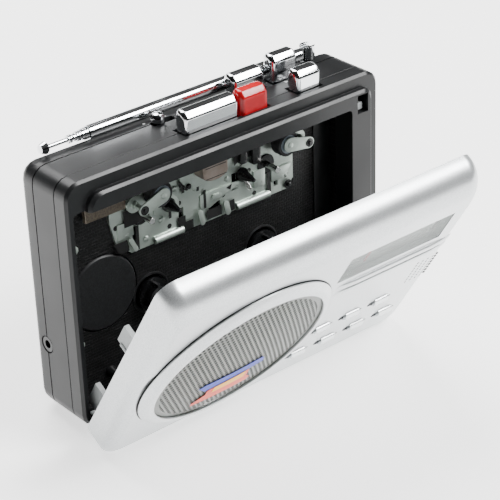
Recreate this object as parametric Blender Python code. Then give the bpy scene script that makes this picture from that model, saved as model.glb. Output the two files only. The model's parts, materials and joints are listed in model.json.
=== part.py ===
"""Portable radio cassette recorder with a hinged silver door that carries its loudspeaker.

Case coordinates, in millimetres: x to the right as seen from the front, y is the depth behind the
front rim of the case, z is up from the case's bottom.  The empty "case_place" carries the whole
model: it leans the case back until the open door's lower edge and the case's rear foot both
stand on the floor, and it puts the world origin at the middle of the footprint.
"""
import math

import bmesh
import bpy
from mathutils import Matrix, Vector

MM = 0.001

# ---- driving dimensions, millimetres -------------------------------------------------------
CASE_WIDTH = 116.5
CASE_HEIGHT = 79.0
CASE_CORNER = 5.0
WALL = 2.0
GAP = 0.3
FRAME_DEPTH = 5.4
BAND_DEPTH = 10.0
REAR_DEPTH = 6.5
REAR_ROUND = 3.0
FRONT_CHAMFER = 2.4

PAD_HEIGHT = 2.3
PAD_RIM = 4.2
PAD_END_ROUND = 4.8
PAD_CORNER = 3.0
TOP_STRIP = 9.3
RIGHT_STRIP = 12.7
SIDE_RIM = 2.2
BOTTOM_RIM = 3.2

WELL_DEPTH = 8.5
WELL_FLOOR = 1.5

REEL_SPACING = 42.5
REEL_HEIGHT = 30.0
CAPSTAN_SPACING = 47.3
CAPSTAN_RISE = 27.0
CAPSTAN_RADIUS = 1.0
GUIDE_SPACING = 28.0
DECK_WIDTH = 69.0
DECK_BOTTOM = 45.8
DECK_THICKNESS = 1.0
DECK_OFFSET = 0.5

MOTOR_RADIUS = 11.9
MOTOR_LENGTH = 6.0
FLYWHEEL_RADIUS = 11.0
FLYWHEEL_THICKNESS = 3.2
PULLEY_RADIUS = 2.5
BELT_THICKNESS = 0.8
BELT_WIDTH = 1.0
REEL_GEAR_RADIUS = 5.8

DOOR_THICKNESS = 10.0
DOOR_WALL = 1.8
DOOR_ROUND = 3.5
DOOR_OPEN_DEG = 32.0
HINGE_BACK = 3.2
HINGE_UP = 1.6
HINGE_PIN_RADIUS = 0.8
LUG_THICKNESS = 3.0
LUG_END = 1.3
PIN_REACH = 1.4

SPEAKER_X = -23.0
SPEAKER_Z = 37.0
SPEAKER_OVAL = 0.91
GRILLE_RADIUS = 31.2
RING_BORDER = 2.4
RING_RISE = 2.6
GRILLE_DOME = 2.0
GRILLE_SHEET = 0.6
RING_LIP = 0.7
RING_WALL = 0.7
RING_FOOT = 0.9
RING_FLANGE = 0.4
RING_HOLD = 0.8
CONE_CLEAR = 4.39

WINDOW_LEFT = 8.5
WINDOW_RIGHT = 50.0
WINDOW_LOW = 52.5
WINDOW_HIGH = 65.0

BAR_LENGTH = 5.4
BAR_HEIGHT = 3.0
BAR_PITCH = 12.1
BAR_ROWS = ((13.2, 23.6, 3), (8.0, 12.9, 4))
BAR_TRAVEL = 0.8

KEY_HEIGHT = 6.6
KEY_DEPTH = 5.2
KEY_TRAVEL = 3.5
KEY_CLEAR = 0.4
KEY_STEM = 2.6

BATTERY_DIAMETER = 14.5
BATTERY_LENGTH = 50.5
BATTERY_CLEAR = 0.8
BATTERY_WALL = 1.5
BATTERY_END_WALL = 1.2
BATTERY_SLACK = 1.3
BAY_SHIFT = 2.0
BULGE_EASE = 1.2
COVER_THICKNESS = 1.4
COVER_TRAVEL = 12.0
COVER_LIFT = 0.6

ANTENNA_RADIUS = 2.05
ANTENNA_WALL = 0.35
ANTENNA_LENGTH = 80.0
ANTENNA_INSET = 1.8
ANTENNA_LIFT = 2.0
ANTENNA_END = 10.25

WHEEL_RADIUS = 8.0
WHEEL_PROUD = 1.2

# ---- sizes that follow from them --------------------------------------------------------------
HALF_WIDTH = CASE_WIDTH / 2
RING_RADIUS = GRILLE_RADIUS + RING_BORDER
BAND_FRONT = FRAME_DEPTH + GAP
BAND_BACK = BAND_FRONT + BAND_DEPTH
REAR_FRONT = BAND_BACK + GAP
CASE_DEPTH = REAR_FRONT + REAR_DEPTH
ANTENNA_DEPTH = CASE_DEPTH - ANTENNA_INSET
ANTENNA_HEIGHT = CASE_HEIGHT + ANTENNA_LIFT
ANTENNA_PIVOT_X = HALF_WIDTH - ANTENNA_END
OPEN_LEFT = -HALF_WIDTH + SIDE_RIM
OPEN_RIGHT = HALF_WIDTH - RIGHT_STRIP
OPEN_TOP = CASE_HEIGHT - TOP_STRIP
DECK_CENTRE_X = (OPEN_LEFT + OPEN_RIGHT) / 2 + 0.9
DECK_FRONT = WELL_DEPTH - DECK_OFFSET
DECK_BACK = DECK_FRONT + DECK_THICKNESS
FLOOR_BACK = WELL_DEPTH + WELL_FLOOR
CAPSTAN_HEIGHT = REEL_HEIGHT + CAPSTAN_RISE
REAR_INNER = CASE_DEPTH - WALL
FLYWHEEL_BACK = REAR_INNER - 1.2
FLYWHEEL_FRONT = FLYWHEEL_BACK - FLYWHEEL_THICKNESS
BELT_FRONT = FLYWHEEL_BACK - BELT_WIDTH - 0.8
BAY_HEIGHT = BATTERY_DIAMETER + 2 * BATTERY_CLEAR
BAY_HALF = BATTERY_LENGTH + BATTERY_SLACK
BAY_FRONT = 14.6
BAY_BACK = BAY_FRONT + BATTERY_DIAMETER + BATTERY_CLEAR
BULGE_TOP = BATTERY_WALL * 2 + BAY_HEIGHT
BULGE_LEFT = BAY_SHIFT - BAY_HALF - BATTERY_END_WALL
BULGE_RIGHT = BAY_SHIFT + BAY_HALF + BATTERY_END_WALL
DOOR_FACE = -GAP - DOOR_THICKNESS
DOOR_INSIDE = DOOR_FACE + DOOR_WALL
ARC_STEPS = 4


# ---- mesh helpers ----------------------------------------------------------------------------
def rounded_rect(x0, x1, z0, z1, radius, steps=ARC_STEPS):
    """Outline of an upright rectangle with round corners, as (x, z) points."""
    points = []
    corners = ((x1, z1, 0), (x0, z1, 90), (x0, z0, 180), (x1, z0, 270))
    for x, z, start in corners:
        centre_x = x - math.copysign(radius, x - (x0 + x1) / 2)
        centre_z = z - math.copysign(radius, z - (z0 + z1) / 2)
        for step in range(steps + 1):
            angle = math.radians(start + 90 * step / steps)
            points.append((centre_x + radius * math.cos(angle), centre_z + radius * math.sin(angle)))
    return points


def circle(x, z, radius, steps=24, start=0.0):
    """Outline of an upright circle, as (x, z) points."""
    turn = 2 * math.pi / steps
    return [(x + radius * math.cos(start + turn * i), z + radius * math.sin(start + turn * i))
            for i in range(steps)]


def loft(stations):
    """Closed solid through (depth, outline) stations with equal numbers of points."""
    mesh = bmesh.new()
    rings = []
    for depth, outline in stations:
        rings.append([mesh.verts.new((x * MM, depth * MM, z * MM)) for x, z in outline])
    count = len(rings[0])
    for near, far in zip(rings, rings[1:]):
        for i in range(count):
            j = (i + 1) % count
            mesh.faces.new((near[i], near[j], far[j], far[i]))
    mesh.faces.new(rings[0])
    mesh.faces.new(rings[-1])
    bmesh.ops.recalc_face_normals(mesh, faces=mesh.faces)
    return mesh


def prism(outline, front, back):
    return loft([(front, outline), (back, outline)])


def box(x0, x1, front, back, z0, z1):
    return prism([(x1, z1), (x0, z1), (x0, z0), (x1, z0)], front, back)


AXES = {"x": ((1, 0, 0), (0, 1, 0), (0, 0, 1)), "y": ((0, 1, 0), (0, 0, 1), (1, 0, 0)),
        "z": ((0, 0, 1), (1, 0, 0), (0, 1, 0))}


def turned(centre, axis, profile, steps=24, ring=False):
    """Turn (along, radius) points about an axis; ring=True closes the profile into a tube."""
    along, side, up = (Vector(v) for v in AXES[axis])
    centre = Vector(centre)
    mesh = bmesh.new()
    rings = []
    for distance, radius in profile:
        middle = centre + along * distance
        if radius == 0:
            rings.append([mesh.verts.new(middle * MM)])
            continue
        points = []
        for i in range(steps):
            angle = 2 * math.pi * i / steps
            points.append(mesh.verts.new(
                (middle + side * radius * math.cos(angle) + up * radius * math.sin(angle)) * MM))
        rings.append(points)
    pairs = list(zip(rings, rings[1:]))
    if ring:
        pairs.append((rings[-1], rings[0]))
    for near, far in pairs:
        if len(near) == 1 and len(far) == 1:
            continue
        for i in range(steps):
            j = (i + 1) % steps
            if len(near) == 1:
                mesh.faces.new((near[0], far[j], far[i]))
            elif len(far) == 1:
                mesh.faces.new((near[i], near[j], far[0]))
            else:
                mesh.faces.new((near[i], near[j], far[j], far[i]))
    if not ring:
        for end in (rings[0], rings[-1]):
            if len(end) > 1:
                mesh.faces.new(end)
    bmesh.ops.recalc_face_normals(mesh, faces=mesh.faces)
    return mesh


def pulley_loop(wheels, extra, steps=14):
    """Convex outline that wraps round wheels (x, z, radius), each radius grown by extra."""
    points = []
    for x, z, radius in wheels:
        points += circle(x, z, radius + extra, steps * 3)
    points.sort()
    hull = []
    for direction in (points, points[::-1]):
        start = len(hull)
        for point in direction:
            while len(hull) - start >= 2:
                ax, az = hull[-2]
                bx, bz = hull[-1]
                if (bx - ax) * (point[1] - az) - (bz - az) * (point[0] - ax) > 1e-9:
                    break
                hull.pop()
            hull.append(point)
        hull.pop()
    return hull


# ---- object helpers --------------------------------------------------------------------------
def new_material(name, colour, roughness, metallic=0.0):
    material = bpy.data.materials.new(name)
    material.use_nodes = True
    shader = material.node_tree.nodes["Principled BSDF"]
    shader.inputs["Base Color"].default_value = (*colour, 1.0)
    shader.inputs["Roughness"].default_value = roughness
    shader.inputs["Metallic"].default_value = metallic
    return material


FINISHES = {
    "black_plastic": ((0.035, 0.037, 0.038), 0.45, 0.0),
    "silver_plastic": ((0.66, 0.68, 0.69), 0.35, 0.3),
    "chrome_plate": ((0.8, 0.8, 0.8), 0.12, 1.0),
    "red_plastic": ((0.6, 0.02, 0.025), 0.3, 0.0),
    "zinc_sheet": ((0.55, 0.58, 0.55), 0.35, 0.8),
    "steel": ((0.5, 0.5, 0.5), 0.3, 1.0),
    "dark_acetal": ((0.02, 0.02, 0.02), 0.3, 0.0),
    "rubber": ((0.02, 0.02, 0.02), 0.8, 0.0),
    "pale_plastic": ((0.5, 0.52, 0.52), 0.4, 0.0),
    "clear_lens": ((0.35, 0.38, 0.38), 0.1, 0.0),
    "brown_metal": ((0.28, 0.24, 0.2), 0.4, 0.7),
    "circuit_board": ((0.05, 0.2, 0.08), 0.5, 0.0),
    "perforated_steel": ((0.25, 0.25, 0.25), 0.4, 0.8),
    "paper_cone": ((0.04, 0.04, 0.04), 0.9, 0.0),
    "brass": ((0.6, 0.45, 0.2), 0.3, 1.0),
    "white_scale": ((0.75, 0.77, 0.77), 0.6, 0.0),
}


def empty(name, location=(0, 0, 0), parent=None, turn_x_deg=0.0):
    marker = bpy.data.objects.new(name, None)
    bpy.context.scene.collection.objects.link(marker)
    marker.location = Vector(location) * MM
    marker.rotation_euler = (math.radians(turn_x_deg), 0, 0)
    marker.parent = parent
    return marker


def solid(name, mesh, finish, origin=(0, 0, 0), frame=None):
    """One named sub-part: its mesh is in case coordinates, its origin at the given point."""
    shift = Vector(origin) * MM
    bmesh.ops.translate(mesh, verts=mesh.verts, vec=-shift)
    data = bpy.data.meshes.new(name)
    mesh.to_mesh(data)
    mesh.free()
    data.set_sharp_from_angle(angle=math.radians(35))
    piece = bpy.data.objects.new(name, data)
    bpy.context.scene.collection.objects.link(piece)
    colour, roughness, metallic = FINISHES[finish]
    data.materials.append(new_material(name + "_" + finish, colour, roughness, metallic))
    piece.parent = frame or case_place
    piece.location = shift - (FRAME_ORIGINS.get(piece.parent.name, Vector()) * MM)
    return piece


def combine(piece, mesh, operation):
    """Cut or join a second closed shape, kept as a hidden guide object."""
    origin = piece.location + FRAME_ORIGINS.get(piece.parent.name, Vector()) * MM
    bmesh.ops.translate(mesh, verts=mesh.verts, vec=-origin)
    data = bpy.data.meshes.new(piece.name + "_guide")
    mesh.to_mesh(data)
    mesh.free()
    guide = bpy.data.objects.new(piece.name + "_guide", data)
    bpy.context.scene.collection.objects.link(guide)
    guide.parent = piece
    guide.hide_render = True
    guide.display_type = "WIRE"
    step = piece.modifiers.new(operation.lower(), "BOOLEAN")
    step.operation = operation
    step.solver = "EXACT"
    step.object = guide


def cut(piece, *meshes):
    for mesh in meshes:
        combine(piece, mesh, "DIFFERENCE")


def join(piece, *meshes):
    for mesh in meshes:
        combine(piece, mesh, "UNION")


# ---- case shells -------------------------------------------------------------------------------
def case_outline(inset=0.0, radius=CASE_CORNER):
    return rounded_rect(-HALF_WIDTH + inset, HALF_WIDTH - inset, inset, CASE_HEIGHT - inset,
                        max(radius - inset, 0.6))


def key_table():
    """Name, left x, right x, front depth, top height, finish of each key on the top."""
    low = CASE_HEIGHT + KEY_HEIGHT
    return (
        ("play_key", -14.0, 6.0, 2.8, low, "chrome_plate"),
        ("record_key", 6.4, 16.6, 2.1, low + 0.3, "red_plastic"),
        ("stop_key", 28.0, 37.6, 2.5, low, "chrome_plate"),
        ("rewind_key", 12.3, 24.6, 13.0, low, "chrome_plate"),
        ("forward_key", 27.6, 37.6, 13.0, low + 1.8, "chrome_plate"),
    )


def key_slots():
    """Slots for the keys through the top of the case, one cutter for each key."""
    for _, left, right, front, _, _ in key_table():
        yield box(left - KEY_CLEAR, right + KEY_CLEAR, front - KEY_CLEAR,
                  front + KEY_DEPTH + KEY_CLEAR,
                  CASE_HEIGHT - KEY_STEM - KEY_TRAVEL - GAP, CASE_HEIGHT + 5)


def make_front_frame():
    rim = 0.8
    frame = solid("front_frame", loft([(0, case_outline(rim)), (rim, case_outline()),
                                       (FRAME_DEPTH, case_outline())]), "black_plastic")
    left = -HALF_WIDTH + PAD_RIM + 2
    right = HALF_WIDTH - PAD_RIM
    top = CASE_HEIGHT - PAD_RIM
    low = 9.0
    pad = []
    for x, z, radius, start in ((right, top, PAD_CORNER, 0), (left, top, PAD_END_ROUND, 90)):
        middle = (x - math.copysign(radius, x), z - radius)
        for step in range(ARC_STEPS + 1):
            angle = math.radians(start + 90 * step / ARC_STEPS)
            pad.append((middle[0] + radius * math.cos(angle), middle[1] + radius * math.sin(angle)))
    pad += [(left, OPEN_TOP - 1.5), (OPEN_RIGHT - 1, OPEN_TOP - 1.5), (OPEN_RIGHT - 1, low),
            (right - 1, low), (right, low + 1)]
    slope = 0.8
    middle_x, middle_z = (left + right) / 2, (top + low) / 2
    face = [(x - math.copysign(slope, x - middle_x), z - math.copysign(slope, z - middle_z))
            for x, z in pad]
    join(frame, loft([(-PAD_HEIGHT, face), (-PAD_HEIGHT + slope, pad), (1.0, pad)]))
    cut(frame, prism(rounded_rect(OPEN_LEFT, OPEN_RIGHT, BOTTOM_RIM, OPEN_TOP, 1.2, 2),
                     -PAD_HEIGHT - 2, FRAME_DEPTH + 2))
    cut(frame, box(CATCH_X - 2.1, CATCH_X + 2.1, -PAD_HEIGHT - 1, FRAME_DEPTH + 1,
                   CATCH_Z - 3.0, CATCH_Z + 3.0))
    for front_key in list(key_slots())[:3]:
        cut(frame, front_key)
    for x in HINGE_X:
        cut(frame, box(x - LUG_THICKNESS / 2 - GAP, x + LUG_THICKNESS / 2 + GAP,
                       -1, HINGE_BACK + LUG_END + GAP, -1, BOTTOM_RIM + 2))
        half = LUG_THICKNESS / 2 + PIN_REACH + GAP
        cut(frame, turned((x - half, HINGE_BACK, HINGE_UP), "x",
                          [(0, HINGE_PIN_RADIUS + GAP), (2 * half, HINGE_PIN_RADIUS + GAP)], 12))
    wedge = [(-1, -1), (FRONT_CHAMFER + 1, -1), (-1, FRONT_CHAMFER + 1)]
    chamfer = bmesh.new()
    ends = []
    for x in (-HALF_WIDTH - 1, HALF_WIDTH + 1):
        ends.append([chamfer.verts.new((x * MM, y * MM, z * MM)) for y, z in wedge])
    for i in range(3):
        j = (i + 1) % 3
        chamfer.faces.new((ends[0][i], ends[0][j], ends[1][j], ends[1][i]))
    chamfer.faces.new(ends[0])
    chamfer.faces.new(ends[1])
    bmesh.ops.recalc_face_normals(chamfer, faces=chamfer.faces)
    cut(frame, chamfer)


def jack_hole(radius):
    return turned((-HALF_WIDTH, JACK_DEPTH, JACK_HEIGHT), "x", [(-2, radius), (WALL + 4, radius)], 20)


def knob_slot():
    return box(KNOB_X - 2.2, KNOB_X + KNOB_TRAVEL + 2.2, KNOB_DEPTH - 1.3, KNOB_DEPTH + 1.3,
               CASE_HEIGHT - 4, CASE_HEIGHT + 1)


def make_case_band():
    band = solid("case_band", prism(case_outline(), BAND_FRONT, BAND_BACK), "black_plastic")
    cut(band, prism(case_outline(WALL, CASE_CORNER), BAND_FRONT - 1, BAND_BACK + 1))
    cut(band, *key_slots())
    cut(band, jack_hole(JACK_RADIUS + GAP), knob_slot())
    cut(band, box(HALF_WIDTH - WALL - 1, HALF_WIDTH + 1, VOLUME_FRONT - GAP, VOLUME_BACK + GAP,
                  VOLUME_Z - WHEEL_RADIUS, VOLUME_Z + WHEEL_RADIUS))
    cut(band, turned((HALF_WIDTH - WALL - 1, PHONE_DEPTH, PHONE_HEIGHT), "x",
                     [(0, PHONE_RADIUS + GAP), (WALL + 3, PHONE_RADIUS + GAP)], 20))


def bulge_end(low=0.0, inset=0.0):
    """Outline of the battery bulge where its cover meets it."""
    ease = BULGE_EASE + inset
    return rounded_rect(BULGE_LEFT + ease, BULGE_RIGHT - ease, low, BULGE_TOP - ease, 2.6)


def make_rear_cover():
    stations = [(REAR_FRONT, case_outline())]
    for step in range(ARC_STEPS + 1):
        angle = math.pi / 2 * step / ARC_STEPS
        inset = REAR_ROUND * (1 - math.cos(angle))
        stations.append((CASE_DEPTH - REAR_ROUND * (1 - math.sin(angle)), case_outline(inset)))
    cover = solid("rear_cover", loft(stations), "black_plastic")
    cut(cover, loft([(REAR_FRONT - 1, case_outline(WALL)), (REAR_INNER - 2, case_outline(WALL)),
                     (REAR_INNER, case_outline(WALL + 1.2))]))
    bulge = rounded_rect(BULGE_LEFT, BULGE_RIGHT, 0, BULGE_TOP, 3.0)
    join(cover, loft([(REAR_INNER - 0.5, bulge), (BAY_BACK - 2 * BULGE_EASE, bulge),
                      (BAY_BACK, bulge_end())]))
    inner_box = rounded_rect(BULGE_LEFT, BULGE_RIGHT, WALL + GAP, BULGE_TOP, 0.6, 1)
    join(cover, prism(inner_box, BAY_FRONT - BATTERY_WALL, REAR_INNER + 0.5))
    cut(cover, box(BAY_SHIFT - BAY_HALF, BAY_SHIFT + BAY_HALF, BAY_FRONT, BAY_BACK + 2, BATTERY_WALL + GAP,
                   BATTERY_WALL + GAP + BAY_HEIGHT))
    cut(cover, jack_hole(JACK_RADIUS + GAP))
    slots = list(key_slots())
    cut(cover, slots[3], slots[4])
    cut(cover, knob_slot())
    sill = ANTENNA_HEIGHT - ANTENNA_RADIUS - 0.45
    cut(cover, box(-HALF_WIDTH + 2, HALF_WIDTH - 2, ANTENNA_DEPTH - ANTENNA_RADIUS - 0.6,
                   CASE_DEPTH + 1, sill, CASE_HEIGHT + 2))
    cut(cover, turned((ANTENNA_PIVOT_X, ANTENNA_DEPTH, CASE_HEIGHT), "z",
                      [(-WALL - 1, 1.5 + GAP), (2, 1.5 + GAP)], 20))


def make_battery_parts():
    outline = bulge_end(COVER_LIFT)
    inner = bulge_end(COVER_LIFT + 0.8, 0.8)
    front = BAY_BACK + GAP
    cover = solid("battery_cover", loft([(front, outline), (front + COVER_THICKNESS - 0.8, outline),
                                         (front + COVER_THICKNESS, inner)]), "black_plastic")
    for rib in range(5):
        x = BULGE_RIGHT - 18 + rib * 2.4
        cut(cover, box(x, x + 1.0, front + COVER_THICKNESS - 0.4, front + COVER_THICKNESS + 1,
                       5.0, BULGE_TOP - 5.0))
    middle = (0, (BAY_FRONT + BAY_BACK) / 2, BATTERY_WALL + GAP + BAY_HEIGHT / 2)
    right = BAY_SHIFT + BAY_HALF - GAP
    solid("battery_contact", box(right - 0.5, right, middle[1] - 5, middle[1] + 5,
                                 middle[2] - 5, middle[2] + 5), "steel")
    coil = bmesh.new()
    turns, wire, steps, sides = 3, 0.35, 12, 6
    start_x = BAY_SHIFT - BAY_HALF + GAP + wire
    previous = None
    first = None
    for i in range(turns * steps + 1):
        angle = 2 * math.pi * i / steps
        radius = 4.0 - 1.6 * i / (turns * steps)
        point = Vector((start_x + 0.9 * i / steps, middle[1] + radius * math.cos(angle),
                        middle[2] + radius * math.sin(angle)))
        outward = Vector((0, math.cos(angle), math.sin(angle)))
        ring = []
        for side in range(sides):
            turn = 2 * math.pi * side / sides
            ring.append(coil.verts.new(
                (point + wire * (outward * math.cos(turn) + Vector((1, 0, 0)) * math.sin(turn))) * MM))
        if previous:
            for side in range(sides):
                other = (side + 1) % sides
                coil.faces.new((previous[side], previous[other], ring[other], ring[side]))
        previous = ring
        first = first or ring
    coil.faces.new(first)
    coil.faces.new(previous)
    bmesh.ops.recalc_face_normals(coil, faces=coil.faces)
    solid("battery_spring", coil, "steel")


# ---- cassette well and deck ------------------------------------------------------------------
def deck_outline(grow=0.0):
    left = DECK_CENTRE_X - DECK_WIDTH / 2 - grow
    right = DECK_CENTRE_X + DECK_WIDTH / 2 + grow
    low = DECK_BOTTOM - grow
    top = OPEN_TOP - 0.6 + grow
    return [(right, top), (left, top), (left, low + 12), (left + 2, low + 4), (left + 7, low),
            (right - 3, low), (right, low + 3)]


def make_well():
    left = -HALF_WIDTH + WALL + GAP
    right = OPEN_RIGHT + 3.5
    outer = rounded_rect(left, right, WALL + GAP, OPEN_TOP + 2.4, CASE_CORNER - WALL)
    tray = solid("cassette_well", prism(outer, BAND_FRONT, FLOOR_BACK), "black_plastic")
    cut(tray, box(left + 1.0, OPEN_RIGHT, BAND_FRONT - 1, WELL_DEPTH, WALL + GAP + 1.0, OPEN_TOP))
    cut(tray, prism(deck_outline(GAP), WELL_DEPTH - 1, FLOOR_BACK + 1))
    for x in REEL_X:
        cut(tray, turned((x, WELL_DEPTH - 1, REEL_HEIGHT), "y",
                         [(0, REEL_FLANGE + 0.4), (WELL_FLOOR + 2, REEL_FLANGE + 0.4)], 24))
    cut(tray, turned((MOTOR_X, WELL_DEPTH - 1, MOTOR_Z), "y",
                     [(0, MOTOR_RADIUS + GAP), (WELL_FLOOR + 2, MOTOR_RADIUS + GAP)], 32))


def make_deck():
    deck = solid("deck_plate", prism(deck_outline(), DECK_FRONT, DECK_BACK), "zinc_sheet")
    for x in CAPSTAN_X:
        cut(deck, turned((x, DECK_FRONT - 1, CAPSTAN_HEIGHT), "y",
                         [(0, CAPSTAN_RADIUS + 0.5), (DECK_THICKNESS + 2, CAPSTAN_RADIUS + 0.5)], 16))
    left = DECK_CENTRE_X - DECK_WIDTH / 2
    for x, z, width, height in ((8.5, 4.5, 1.6, 7.0), (25.5, 5.0, 1.8, 6.0), (38.0, 4.0, 4.5, 2.6),
                                (46.0, 9.5, 2.2, 5.5), (62.0, 5.5, 1.6, 6.0)):
        cut(deck, box(left + x - width / 2, left + x + width / 2, DECK_FRONT - 1, DECK_BACK + 1,
                      DECK_BOTTOM + z - height / 2, DECK_BOTTOM + z + height / 2))
    for side, x in zip(("left", "right"), GUIDE_X):
        solid("tape_guide_" + side, turned((x, DECK_FRONT - GAP, CAPSTAN_HEIGHT), "y",
                                           [(0, 2.2), (-1.2, 2.2), (-2.4, 1.5), (-6.2, 0.5)], 16),
              "dark_acetal")
    solid("shield_can", box(SHIELD_LEFT, SHIELD_RIGHT, BAND_FRONT + GAP, DECK_FRONT - GAP,
                            SHIELD_LOW, OPEN_TOP - GAP), "brown_metal")


def make_head():
    x = DECK_CENTRE_X
    back = DECK_FRONT - GAP
    slide = solid("head_slide", prism(
        [(x + 9.5, HEAD_LOW + 6.5), (x - 9.5, HEAD_LOW + 6.5), (x - 9.5, HEAD_LOW + 1.0),
         (x - 6.5, HEAD_LOW - 3.0), (x + 6.5, HEAD_LOW - 3.0), (x + 9.5, HEAD_LOW + 1.0)],
        back - 0.8, back), "zinc_sheet")
    cut(slide, box(x + 7.6, x + 8.6, back - 2, back + 1, HEAD_LOW + 1.6, HEAD_LOW + 4.4))
    outline = [(x + 4.6, HEAD_LOW + 6.0), (x - 4.6, HEAD_LOW + 6.0)]
    for step in range(9):
        angle = math.pi + math.pi * step / 8
        outline.append((x + 4.6 * math.cos(angle), HEAD_LOW + 2.0 + 2.0 * math.sin(angle)))
    solid("tape_head", prism(outline, back - 0.8 - GAP - 4.6, back - 0.8 - GAP), "steel")


def make_pinch(side, pivot, roller, bend):
    """Arm plate on its pivot stud with a free-turning rubber roller."""
    back = DECK_FRONT - GAP
    arm_front = back - 0.8
    (px, pz), (rx, rz) = pivot, roller
    along = Vector((rx - px, rz - pz)).normalized()
    across = Vector((-along.y, along.x)) * bend
    reach = Vector((rx - px, rz - pz)).length
    start, centre = Vector((px, pz)), Vector((rx, rz))
    points = []
    for step in range(9):
        angle = math.pi / 2 + math.pi * step / 8
        points.append(start + 2.6 * (along * math.cos(angle) + across * math.sin(angle)))
    for step in range(9):
        angle = -math.pi / 2 + math.pi * step / 8
        points.append(centre + 1.9 * (along * math.cos(angle) + across * math.sin(angle)))
    points.append(start + along * reach * 0.5 + across * 3.2)
    arm = solid("pinch_arm_" + side, prism([tuple(p) for p in points], arm_front, back),
                "zinc_sheet", (px, back, pz))
    join(arm, turned((px, back, pz), "y", [(-2.2, 0), (-2.2, 1.1), (-0.4, 1.1), (-0.4, 0)], 12))
    join(arm, turned((rx, back, rz), "y", [(-5.4, 0), (-5.4, 0.7), (-0.4, 0.7), (-0.4, 0)], 12))
    tread = turned((rx, arm_front - GAP, rz), "y",
                   [(-3.8, 1.0), (-3.8, ROLLER_RADIUS - 0.3), (-3.5, ROLLER_RADIUS),
                    (-0.3, ROLLER_RADIUS), (0, ROLLER_RADIUS - 0.3), (0, 1.0)], 24, ring=True)
    solid("pinch_roller_" + side, tread, "rubber", (rx, arm_front - GAP, rz))


def make_drive():
    depth = FLYWHEEL_FRONT
    for side, x in zip(("left", "right"), CAPSTAN_X):
        profile = [(CAPSTAN_TIP, 0), (CAPSTAN_TIP, CAPSTAN_RADIUS), (DECK_BACK + 0.6, CAPSTAN_RADIUS),
                   (DECK_BACK + 0.6, 3.0), (depth, 3.0), (depth, FLYWHEEL_RADIUS),
                   (BELT_FRONT - GAP, FLYWHEEL_RADIUS), (BELT_FRONT - GAP, BELT_TRACK),
                   (BELT_FRONT + BELT_WIDTH + GAP, BELT_TRACK),
                   (BELT_FRONT + BELT_WIDTH + GAP, FLYWHEEL_RADIUS), (FLYWHEEL_BACK, FLYWHEEL_RADIUS),
                   (FLYWHEEL_BACK, 0)]
        solid("flywheel_" + side, turned((x, 0, CAPSTAN_HEIGHT), "y", profile, 32), "steel",
              (x, 0, CAPSTAN_HEIGHT))
    for side, x in zip(("left", "right"), REEL_X):
        gear_front = MOTOR_BACK + GAP
        profile = [(REEL_TIP, 0), (REEL_TIP, 1.6), (REEL_TIP + 1.0, 3.4), (WELL_DEPTH - 1.6, 3.4),
                   (WELL_DEPTH - 1.6, REEL_FLANGE), (WELL_DEPTH - 0.6, REEL_FLANGE),
                   (WELL_DEPTH - 0.6, 3.4), (gear_front, 3.4), (gear_front, REEL_GEAR_RADIUS),
                   (gear_front + 1.4, REEL_GEAR_RADIUS), (gear_front + 1.4, 0)]
        reel = solid("reel_spindle_" + side, turned((x, 0, REEL_HEIGHT), "y", profile, 24),
                     "dark_acetal", (x, 0, REEL_HEIGHT))
        for fin in range(3):
            blade = box(x - 0.45, x + 0.45, REEL_TIP + 1.0, WELL_DEPTH - 1.2, REEL_HEIGHT + 1.0,
                        REEL_HEIGHT + 4.3)
            bmesh.ops.rotate(blade, verts=blade.verts, cent=Vector((x, 0, REEL_HEIGHT)) * MM,
                             matrix=Matrix.Rotation(math.radians(120 * fin), 3, "Y"))
            join(reel, blade)
    for side, reel_x, capstan_x in zip(("left", "right"), REEL_X, CAPSTAN_X):
        x, z, radius = idler_place(reel_x, capstan_x)
        front = MOTOR_BACK + GAP
        solid("idler_wheel_" + side, turned((x, front, z), "y", [(0, 0), (0, radius - 0.3),
              (0.3, radius), (1.0, radius), (1.3, radius - 0.3), (1.3, 0)], 28), "rubber", (x, front, z))
    solid("motor", turned((MOTOR_X, MOTOR_BACK - MOTOR_LENGTH, MOTOR_Z), "y",
                          [(0, 0), (0, MOTOR_RADIUS - 0.5), (0.5, MOTOR_RADIUS),
                           (MOTOR_LENGTH, MOTOR_RADIUS), (MOTOR_LENGTH, 0)], 36), "black_plastic")
    solid("motor_pulley", turned((MOTOR_X, 0, MOTOR_Z), "y",
                                 [(MOTOR_BACK + GAP, 0), (MOTOR_BACK + GAP, 1.2),
                                  (BELT_FRONT - 0.7, 1.2), (BELT_FRONT - 0.7, PULLEY_RADIUS + 0.8),
                                  (BELT_FRONT - GAP, PULLEY_RADIUS + 0.8), (BELT_FRONT - GAP, PULLEY_RADIUS),
                                  (BELT_FRONT + BELT_WIDTH + GAP, PULLEY_RADIUS),
                                  (BELT_FRONT + BELT_WIDTH + GAP, PULLEY_RADIUS + 0.8),
                                  (BELT_FRONT + BELT_WIDTH + 0.7, PULLEY_RADIUS + 0.8),
                                  (BELT_FRONT + BELT_WIDTH + 0.7, 0)], 20), "brass", (MOTOR_X, 0, MOTOR_Z))
    wheels = [(MOTOR_X, MOTOR_Z, PULLEY_RADIUS), (CAPSTAN_X[0], CAPSTAN_HEIGHT, BELT_TRACK),
              (CAPSTAN_X[1], CAPSTAN_HEIGHT, BELT_TRACK)]
    belt = solid("drive_belt", prism(pulley_loop(wheels, BELT_GAP + BELT_THICKNESS), BELT_FRONT,
                                     BELT_FRONT + BELT_WIDTH), "rubber")
    cut(belt, prism(pulley_loop(wheels, BELT_GAP), BELT_FRONT - 1, BELT_FRONT + BELT_WIDTH + 1))


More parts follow.
